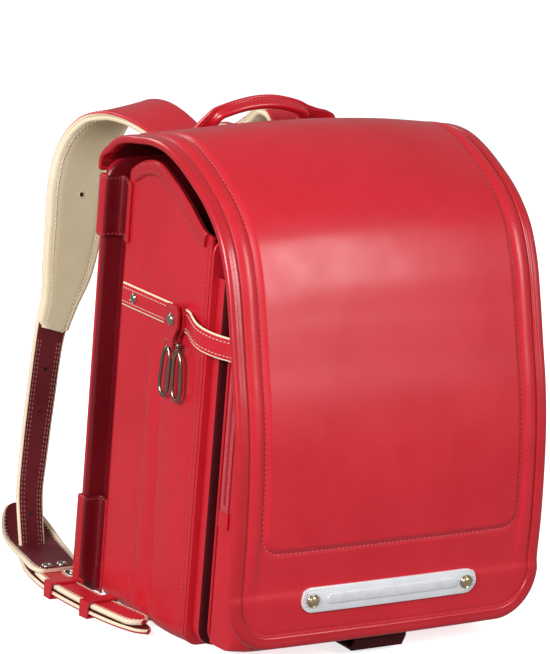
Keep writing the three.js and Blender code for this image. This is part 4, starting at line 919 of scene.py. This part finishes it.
def make_band(word, side):
    rows = [(side * (HALF_BODY + GAP + 1 + off * BAND_BULGE), BACK_Y - d * BODY_DEPTH,
             BAND_UP - drop * BAND_HEIGHT) for d, off, drop in BAND_ROWS]
    at = smooth(rows, 110)
    shape, rise, face = ribbon(at, Z_AXIS, BAND_HEIGHT - 1.2, 1.9, puff=0.15, tuck=0.15, columns=13)
    edges = [ribbon(at + rise * level, Z_AXIS, size, 1.5, columns=3)[0]
             for level, size in ((BAND_HEIGHT / 2 - 1.0, 2.3), (-BAND_HEIGHT / 2 + 0.7, 1.6))]
    piece(f"side_band_strap_{word}", [shape], RED, f"side_band_{word}")
    piece(f"side_band_edges_{word}", edges, CREAM_EDGE)
    outer = face if (face[0, 0] > 0) == (side > 0) else -face
    runs = [(at + rise * level + outer * 1.02, outer) for level in (4.6, -4.9)]
    stitches(f"side_band_stitches_{word}", runs, WHITE_THREAD, TRIM_STITCH)
    centre = (side * (TAB_FACE - 0.05), BACK_Y - 0.3 * BODY_DEPTH, BAND_UP)
    piece(f"band_rivet_head_{word}", [dome(3.8, 1.9, centre, (side, 0, 0), rim=0.14)], STEEL,
          f"band_rivet_{word}")
    far = BAR_X + FOLD_RADIUS
    centre = (side * (far + TAB_SHEET + GAP - 0.2), HOOK_Y, BAND_UP)
    piece(f"tab_rivet_head_{word}", [dome(4.2, 2.4, centre, (side, 0, 0), rim=0.14)], STEEL,
          f"tab_rivet_{word}")
    dress(f"hook_tab_{word}", RED_EDGE, 0.45, 3)
    rows = np.array([(-3.2, -10), (-6.6, -5.6), (-6.6, 12.0), (-4.6, 15.2), (4.6, 15.2), (6.6, 12.0),
                     (6.6, -5.6), (3.2, -10)], float)
    rows = resample(rows, 80, dims=2)
    line = rows_of(side * (far + TAB_SHEET + 0.04), HOOK_Y + rows[:, 0], BAR_Z + 15 + rows[:, 1] * 0.72)
    stitches(f"hook_tab_stitches_{word}", [(line, (side, 0, 0))], RED_THREAD, TAB_STITCH)


LOOP_ROWS = [(0.1, 0), (0.85, 0.18), (1, 0.55), (0.9, 0.86), (0, 1), (-0.9, 0.88), (-1, 0.55),
             (-0.8, 0.18), (-0.1, 0)]


def hook_loop(direction, origin):
    """The loop under one end of the hook's bar."""
    rows = [(0, direction * (w * LOOP_WIDTH / 2 + d * 2 + BAR_HALF), -LOOP_TOP - d * HOOK_DROP)
            for w, d in LOOP_ROWS]
    return wire(smooth(rows, 90, closed=True) + origin, HOOK_WIRE, X_AXIS, closed=True)


def make_hook(word, side):
    origin = np.array([side * BAR_X, HOOK_Y, BAR_Z])
    bar = np.linspace([0, -BAR_HALF, 0], [0, BAR_HALF, 0], 6)
    shapes = [wire(bar + origin, BAR_RADIUS, X_AXIS)]
    for end in (-1, 1):
        turn = angles(-90, 90, 15)
        profile = [(KNOB * math.cos(a), KNOB * math.sin(a)) for a in turn]
        shapes.append(lathe(profile, origin + [0, end * BAR_HALF, 0], Y_AXIS, 22))
    stem = np.linspace([0, -BAR_HALF, 0], [0, -BAR_HALF, -LOOP_TOP - HOOK_WIRE / 2], 5) + origin
    shapes.append(wire(stem, HOOK_WIRE, X_AXIS))
    collar = [(0.4, -1.3), (1.75, -1.3), (2.0, -1.0), (2.0, 1.0), (1.75, 1.3), (0.4, 1.3)]
    shapes.append(lathe(collar, origin + [0, -BAR_HALF, -LOOP_TOP + 0.4], Z_AXIS, 20))
    shapes.append(hook_loop(-1, origin))
    piece(f"snap_hook_{word}", shapes, BRONZE, f"hook_body_{word}", body=f"hook_{word}")
    shapes = [hook_loop(1, origin)]
    shapes.append(lathe(collar, origin + [0, BAR_HALF, -LOOP_TOP - 0.9], Z_AXIS, 20))
    piece(f"snap_lever_{word}", shapes, BRONZE, f"hook_lever_{word}", body=f"lever_{word}")


# Straps and lower belts

STRAP_ROOT, STRAP_SPREAD, STRAP_REACH, STRAP_CREST, STRAP_WIDTH = 50, 77, 111, 327, 48
STRAP_THICK, STRAP_PAD, RIGHT_SAG = 3.2, 4.6, 20
KEEPER, TAIL_THICK, TAIL_WIDTH, TAIL_REACH, LEAF_THICK = 1.4, 4.2, 21, 107, 2.6
TAIL_MIDDLE = KEEPER + GAP + TAIL_THICK / 2
BELT_MIDDLE = TAIL_MIDDLE + TAIL_THICK + GAP
STACK_TOP = BELT_MIDDLE + TAIL_THICK / 2
STRAP_BACK = TAIL_Y + FLAP_THICK / 2 + 2 * PLATE_SHEET + 3 * GAP + STRAP_THICK / 2
STRAP_ROWS = [
    (-0.09, 0, 0.905, 0.78, 0, 0), (-0.09, 0.015, 0.94, 0.78, 0, -0.3),
    (-0.09, 0.11, 0.964, 0.8, 3, -0.75), (-0.078, 0.24, 0.976, 0.82, 8, -0.6),
    (-0.045, 0.4, 0.992, 0.85, 11, 0.25), (-0.015, 0.57, 1, 0.88, 12, 0.9),
    (0.02, 0.74, 0.994, 0.9, 11, 0.95), (0.08, 0.88, 0.968, 0.94, 8, 0.9),
    (0.155, 0.965, 0.926, 0.98, 5, 0.8), (0.235, 1, 0.87, 1, 2, 0.7), (0.3, 0.985, 0.8, 1, 0, 0.6),
    (0.35, 0.94, 0.72, 0.96, 0, 0.4), (0.45, 0.87, 0.63, 0.84, 0, 0.3),
    (0.58, 0.8, 0.555, 0.6, 0, 0.2), (0.68, 0.755, 0.5, 0.53, 0, 0.1),
    (0.8, 0.685, 0.35, 0.5, 0, 0), (0.89, 0.62, 0.235, 0.48, 0, 0), (0.96, 0.555, 0.15, 0.45, 0, 0),
    (1, 0.47, 0.085, 0.44, 0, 0),
]
FOOT = np.array([STRAP_ROOT + STRAP_SPREAD, STRAP_BACK + 0.39 * STRAP_REACH, 0.056 * STRAP_CREST])
FOOT_ROWS = [(0.005, -0.03, 0.72, 1), (0.012, -0.03, 0.52, 1), (0.03, 0, 0.3, 1), (0.07, 0.07, 0, 1),
             (0.17, 0.25, 0, 1), (0.205, 0.37, 0, 1), (0.2, 0.6, 0, 1), (0.13, 0.85, 0, 1),
             (0.07, 1, 0, 0.62)]


def strap_line(side):
    """Rows of x, y, z, across x, across z, width and the row's number."""
    rows = []
    for out, back, up, width, tilt, sag in STRAP_ROWS:
        lean = math.radians(tilt)
        rows.append((side * (STRAP_ROOT + out * STRAP_SPREAD), STRAP_BACK + back * STRAP_REACH,
                     up * STRAP_CREST - (sag * RIGHT_SAG if side > 0 else 0),
                     math.cos(lean), -side * math.sin(lean), width * STRAP_WIDTH, len(rows)))
    for out, ahead, up, width in FOOT_ROWS:
        rows.append((side * (FOOT[0] + out * STRAP_SPREAD), FOOT[1] - ahead * (FOOT[1] + 7),
                     TAIL_MIDDLE + up * (FOOT[2] - TAIL_MIDDLE), 1, 0, width * TAIL_WIDTH, len(rows)))
    return smooth(rows, 420)


def rounded_end(at, width, reach, least=0.06):
    """The widths of a strap whose last part, of the given reach, is rounded."""
    left = np.linalg.norm(at - at[-1], axis=1)
    share = np.clip(1 - left / reach, 0, 1)
    return width * np.sqrt(np.clip(1 - share**2, least, 1))


def edge_runs(at, wide, face, reaches, lift):
    """Runs along both edges of a strap, at each reach from its middle."""
    return [(at + wide * reach[:, None] * k + face * lift, face) for k in (-1, 1) for reach in reaches]


def make_strap(word, side):
    line = strap_line(side)
    at, width, number = line[:, :3], line[:, 5], line[:, 6]
    across = rows_of(line[:, 3], 0.0, line[:, 4])
    width = rounded_end(at, width, 9)
    shape, wide, face = ribbon(at, across, width, STRAP_THICK, columns=15, puff=0.2, tuck=0.2,
                               zones=(0, 0, 1, 2))
    piece(f"shoulder_strap_{word}", [shape], [RED, CREAM_EDGE, MAROON], f"strap_{word}")
    skin = STRAP_THICK / 2 + THREAD_LIFT
    on = number > 0.4
    runs = edge_runs(at[on], wide[on], face[on], [width[on] / 2 - 3.4], skin)
    stitches(f"strap_stitches_{word}", runs, RED_THREAD, STRAP_STITCH)
    on = (number > 14.2) & (number < 22)
    runs = edge_runs(at[on], wide[on], -face[on], [width[on] / 2 - e for e in (3.2, 5.4)], skin)
    stitches(f"strap_inner_stitches_{word}", runs, DUSTY_THREAD, TAPE_STITCH)

    shapes = []
    ring = [(2.3, -0.1), (2.3, 0.25), (1.9, 0.36), (1.4, 0.2), (0.05, 0.2)]
    for place in np.linspace(14.6, 17.6, 6):
        i = np.argmin(np.abs(number - place))
        for way in (-1, 1):
            out = way * face[i]
            shapes.append(lathe(ring, at[i] + out * STRAP_THICK / 2, out, 16, [0, 0, 0, 1]))
    # Each hole's floor is a disc of painted shade
    piece(f"strap_holes_{word}", shapes, [MAROON, HOLE_SHADE])

    on = (number > 1.05) & (number < 14.02)
    at, width, number = at[on], rounded_end(at[on], width[on] - 0.3, 4, 0.5), number[on]
    thick = STRAP_PAD - 0.6
    drop = (STRAP_THICK + thick) / 2 - 0.1
    shape, wide, face = ribbon(at, across[on], width, thick, -drop, columns=25, puff=0.7, tuck=0.45,
                               zones=(0, 1, 1, 0), border=0.87)
    pad = piece(f"strap_cushion_{word}", [shape], [CREAM, CREAM_EDGE], f"strap_pad_{word}")
    runs = edge_runs(at, wide, -face, [width / 2 - 5.2], drop + thick / 2 + 0.35)
    stitches(f"strap_cushion_stitches_{word}", runs, CREAM_EDGE, CUSHION_STITCH)
    i = np.argmin(np.abs(number - 10.2))
    spot = at[i] - face[i] * (drop + thick / 2 + 0.75) + wide[i] * 1.5
    ring = [(2.6, -0.3), (2.6, 0.2), (2.2, 0.35), (1.7, 0.25), (1.1, 0.1), (0.05, 0.1)]
    # The hole's floor is a disc of painted shade
    piece(f"strap_cushion_hole_{word}", [lathe(ring, spot, -face[i], 18, [0, 0, 0, 1, 1])],
          [CREAM, HOLE_SHADE])


LEAF_ROWS = smooth([
    (0, 0.42, 0.24, 0, 0), (0.03, 0.49, 0.29, 0, 0), (0.12, 0.53, 0.36, 0, 0),
    (0.36, 0.47, 0.47, 0.02, 0), (0.6, 0.43, 0.54, 0.06, 0.03), (0.78, 0.41, 0.57, 0.14, 0.1),
    (0.88, 0.36, 0.5, 0.36, 0.13), (0.94, 0.29, 0.4, 0.6, 0.12), (0.98, 0.19, 0.27, 0.82, 0.08),
    (1, 0.05, 0.05, 0.95, 0)],
    110, dims=1)
LEAF_FRONT = BOARD_BACK + 3 * GAP + SLEEVE_SHEET + 2 * TAB_SHEET + 2 * (RING_WIRE + GAP)
LEAF_X, LEAF_LENGTH, LEAF_WIDTH, LEAF_RISE = HALF_BODY + 9, 82, 44, 25


def make_leaf(word, side):
    base = STACK_TOP + GAP + LEAF_THICK / 2

    def point(row, share, lift):
        away, outer, inner, up, rim = row
        reach = (inner if share < 0 else outer) * LEAF_WIDTH
        return (side * (LEAF_X - 4 * away + share * reach), LEAF_FRONT + away * LEAF_LENGTH,
                base + up * LEAF_RISE + rim * LEAF_RISE * share**2 + lift)

    shares = np.r_[-1, -0.97, -0.9, -0.84, np.linspace(-0.75, 0.75, 13), 0.84, 0.9, 0.97, 1]
    half = LEAF_THICK / 2
    drop = np.where(np.abs(shares) > 0.98, 0.7, 0.0)
    rings = [[point(row, s, half - d) for s, d in zip(shares, drop)]
             + [point(row, s, -half + d) for s, d in zip(shares[::-1], drop)] for row in LEAF_ROWS]
    band = np.r_[1, 1, 1, np.zeros(len(shares) - 7), 1, 1, 1].astype(int)
    pick = np.r_[band, 1, 2 - band[::-1], 1]
    piece(f"belt_leaf_sheet_{word}", [loft(rings, pick=pick)], [MAROON, CREAM_EDGE, RED],
          f"belt_leaf_{word}", sharp=50)
    runs = [([point(row, k * 0.8, half + THREAD_LIFT) for row in LEAF_ROWS[4:-6]], Z_AXIS)
            for k in (-1, 1)]
    stitches(f"leaf_stitches_{word}", runs, WHITE_THREAD, TRIM_STITCH)
    for place, shift in (("outer", 0.26), ("inner", -0.02)):
        centre = (side * (LEAF_X + shift * LEAF_WIDTH), LEAF_FRONT + 1.6 * TAIL_THICK,
                  STACK_TOP + 2 * GAP + LEAF_THICK - 0.3)
        rim = [(1.7, 0), (4.0, 0), (4.2, 0.3), (4.1, 0.8), (3.6, 1.35), (2.9, 1.5), (2.3, 1.3), (1.8, 0.7)]
        # The eyelet's hole is a disc of painted shade
        points, faces, picks = lathe([(1.9, 0.05), (1.9, 0.5), (0.05, 0.5)], centre, Z_AXIS, 20)
        hole = points, faces, [1] * len(picks)
        piece(f"leaf_eyelet_{place}_{word}", [lathe(rim, centre, Z_AXIS), hole], [STEEL, HOLE_SHADE],
              f"belt_eyelet_{place}_{word}")


def make_belt(word, side):
    line = strap_line(1)
    line = line[line[:, 6] > 20]
    spots = [(-0.12, 1), (0, 1), (0.08, 1), (0.2, 1), (0.36, 1), (0.5, 1), (0.63, 1), (0.92, 1), (1, 0.9)]
    rows = []
    for ahead, width in spots:
        y = TAIL_REACH - ahead * TAIL_REACH
        x = np.interp(y, line[::-1, 1], line[::-1, 0])
        rows.append((side * (x - 1.5), y, BELT_MIDDLE, width * TAIL_WIDTH))
    made = smooth(rows, 90)
    at, width = made[:, :3], rounded_end(made[:, :3], made[:, 3], 9)
    shape, wide, face = ribbon(at, X_AXIS, width, TAIL_THICK - 0.3, columns=11, puff=0.12, tuck=0.2,
                               zones=(0, 1, 1, 0))
    piece(f"belt_inner_layer_{word}", [shape], [RED, CREAM_EDGE], f"belt_layer_{word}")
    top = face if face[0, 2] > 0 else -face
    runs = edge_runs(at, wide, top, [width / 2 - 3], TAIL_THICK / 2 - 0.1)
    stitches(f"belt_stitches_{word}", runs, WHITE_THREAD, TRIM_STITCH)
    for place in ("back", "front"):
        dress(f"keeper_{place}_{word}", RED, 0.6, 3)


def make_anchor(word, side):
    dress(f"anchor_tab_{word}", RED, 0.5, 3)
    x = side * (HALF_BODY - 5)
    bar_y = BOARD_BACK + 3 * GAP + SLEEVE_SHEET + TAB_SHEET + RING_WIRE
    half = 8 + 2 * RING_WIRE + GAP
    corners = [(-half, 0), (half, 0), (half, 6.6), (half * 0.6, 11), (-half * 0.6, 11), (-half, 6.6)]
    rows = np.array([(x + u, bar_y + v, STACK_TOP - RING_WIRE) for u, v in corners])
    fine = resample(rows, 60, closed=True)
    for _ in range(2):
        fine = (np.roll(fine, 1, 0) + fine * 2 + np.roll(fine, -1, 0)) / 4
    piece(f"corner_ring_{word}", [wire(fine, RING_WIRE, Z_AXIS, closed=True)], STEEL,
          f"anchor_ring_{word}")


# Handle and small plates

HANDLE_HALF, HANDLE_RISE, HANDLE_LEAN, HANDLE_BAND = 59, 44, 10, 5.25
HANDLE_LEFT = [
    (-0.875, -0.27, 0, 3.33, 0, 180), (-0.875, 0.04, 0, 3.33, 0, 180), (-0.76, 0.26, 0.05, 2.05, 0.35, 176),
    (-0.715, 0.42, 0.25, 1.5, 0.7, 166), (-0.68, 0.53, 0.48, 1.15, 0.9, 150),
]
HANDLE_RIGHT = [
    (0.71, 0.575, 0.5, 1.6, 0.9, 24), (0.8, 0.53, 0.3, 2.55, 0.75, 11), (0.86, 0.455, 0.12, 3.1, 0.6, 7),
    (0.875, 0.3, 0, 3.33, 0.2, 0), (0.875, -0.27, 0, 3.33, 0, 0),
]
HANDLE_ARCH = [(0.62, 0.63, 0.68, 1.05, 1, 44), (0.5, 0.7, 0.85, 0.98, 1, 58),
               (0.33, 0.765, 0.95, 0.95, 1, 72), (0.11, 0.81, 1, 0.98, 1, 85)]


def make_handle():
    """A flat stitched band whose inner edge is rolled round a padded core."""
    half = PLATE_SHEET / 2
    tab_y = TAIL_Y + FLAP_THICK / 2 + GAP + half
    mirrored = [(-row[0], *row[1:5], 180 - row[5]) for row in HANDLE_ARCH]
    rows = [(a * HANDLE_HALF, tab_y - lean * HANDLE_LEAN, BOARD_TOP + up * HANDLE_RISE, wide, deep, turn)
            for a, up, lean, wide, deep, turn in HANDLE_LEFT + mirrored + HANDLE_ARCH[::-1] + HANDLE_RIGHT]
    line = smooth(rows, 170)
    at = line[:, :3]
    angle = np.radians(line[:, 5])
    out = rows_of(np.cos(angle), 0.0, np.sin(angle))
    turn = angles(28, 332, 21)
    rings, edges = [], []
    for i, (wide, deep) in enumerate(line[:, 3:5]):
        w = wide * HANDLE_BAND
        roll_u, roll_v = 1.6 + deep * 1.9, half + deep * 4.2
        centre = -w + roll_u
        flat = np.linspace(w - 1.0, centre + 1.2 * roll_u, 6)
        upper = [(w, 0), (w - 0.25, 1.0), *((u, half) for u in flat)]
        roll = [(centre + roll_u * math.cos(a), roll_v * math.sin(a)) for a in turn]
        lower = [(u, -v) for u, v in upper[:0:-1]]
        section = np.array([*upper, *roll, *lower])
        rings.append(at[i] + out[i] * section[:, :1] + Y_AXIS * section[:, 1:])
        edges.append(at[i] + out[i] * (w - 2.6))
    piece("padded_handle", [loft(rings)], RED_EDGE, "handle", sharp=50)
    edges = np.array(edges)
    runs = [(edges + Y_AXIS * k * (half + THREAD_LIFT), Y_AXIS * k) for k in (-1, 1)]
    stitches("handle_stitches", runs, RED_THREAD, HANDLE_STITCH)


PAD_HALF, PAD_LOW, PAD_HIGH, PAD_CORNER, PAD_RISE = 98, 28, 283, 22, 7.0


def make_back_pad():
    back = BOARD_BACK + GAP
    rings = []
    for z in np.linspace(PAD_LOW, PAD_HIGH, 60):
        near = min(z - PAD_LOW, PAD_HIGH - z)
        short = max(PAD_CORNER - near, 0)
        reach = PAD_HALF - PAD_CORNER + math.sqrt(max(PAD_CORNER**2 - short**2, 0.2))
        x = np.linspace(-reach, reach, 60)
        depth = inside(x, near, PAD_HALF, 0, PAD_CORNER)
        rise = PAD_RISE * (1 - np.exp(-np.maximum(depth, 0) / 6.0)) - 3.0 * groove_at(depth - 14, 2.2)
        rise = rise - 2.6 * groove_at(x, 3.0) * soft_step(depth, 10, 18)
        rings.append(np.vstack([rows_of(x, back + np.maximum(rise, 0.4), z), rows_of(x[::-1], back, z)]))
    pad = piece("back_cushion", [loft(rings)], CREAM, "back_pad", sharp=60)


make_handle()
make_back_pad()
for word, side in SIDES:
    make_sides(word, side)
    make_sleeve(f"top_sleeve_{word}", side, 257, 300, 0, f"sleeve_top_{word}")
    make_sleeve(f"bottom_sleeve_{word}", side, GAP, 70, 3, f"sleeve_bottom_{word}")
    make_band(word, side)
    make_hook(word, side)
    make_strap(word, side)
    make_leaf(word, side)
    make_belt(word, side)
    make_anchor(word, side)
dress("strap_bracket", RED, 0.7, 3)
dress("lock_tongue", SHADE, 0.3, 2)
dress("zip_slider", STEEL, 0.4, 3)


# Stage, lights and camera

def make_stage():
    """A pale flat floor, wide enough to fill the picture from every side."""
    reach, drop = 30, 0.0002
    corners = [(x * reach, y * reach, -drop) for x, y in ((-1, -1), (1, -1), (1, 1), (-1, 1))]
    mesh = bpy.data.meshes.new("studio_floor")
    mesh.from_pydata(corners, [], [[0, 1, 2, 3]])
    paper, _, _ = new_material("studio_paper", (0.925,) * 3, (0.935,) * 3, 2, 0.8,
                               Emission_Color=(1, 1, 1, 1), Emission_Strength=0.75)
    mesh.materials.append(paper)
    floor = add_to_scene("studio_floor", mesh)
    floor.visible_glossy = False
    floor.visible_diffuse = False


def add_light(name, place, aim, size, power):
    data = bpy.data.lights.new(name, "AREA")
    data.shape = "RECTANGLE"
    data.size, data.size_y = size
    data.energy = power
    light = add_to_scene(name, data)
    light.location = place
    light.rotation_euler = (Vector(aim) - Vector(place)).to_track_quat("-Z", "Y").to_euler()


CAMERA_PLACE = (-1.44004, -2.04066, 0.80724)
CAMERA_AHEAD = (0.549006, 0.802242, -0.234523)
CAMERA_ROLL, CAMERA_SENSOR, CAMERA_LENS = 4.597, 36, 204.82


def make_camera():
    data = bpy.data.cameras.new("camera")
    data.sensor_width, data.lens = CAMERA_SENSOR, CAMERA_LENS
    data.clip_start, data.clip_end = 0.05, 50
    camera = add_to_scene("camera", data)
    ahead = Vector(CAMERA_AHEAD).normalized()
    level = ahead.cross(Vector((0, 0, 1))).normalized()
    roll = math.radians(CAMERA_ROLL)
    right = level * math.cos(roll) + level.cross(ahead) * math.sin(roll)
    turn = Matrix((right, right.cross(ahead), -ahead)).transposed()
    camera.matrix_world = Matrix.Translation(CAMERA_PLACE) @ turn.to_4x4()
    bpy.context.scene.camera = camera


make_stage()
make_camera()
add_light("soft_right", (0.84, -1.72, 1.16), (0, -0.09, 0.24), (0.75, 1.0), 22)
add_light("front_left", (-2.3, -1.0, 1.3), (0, 0, 0.18), (1.2, 1.0), 72)
add_light("rim", (-0.6, 1.5, 1.3), (0, 0, 0.3), (0.9, 0.6), 9)
world = bpy.data.worlds.new("studio")
world.use_nodes = True
set_inputs(world.node_tree.nodes["Background"], {"Color": (1, 1, 1, 1), "Strength": 0.32})
bpy.context.scene.world = world
bpy.context.scene.view_settings.view_transform = "Standard"
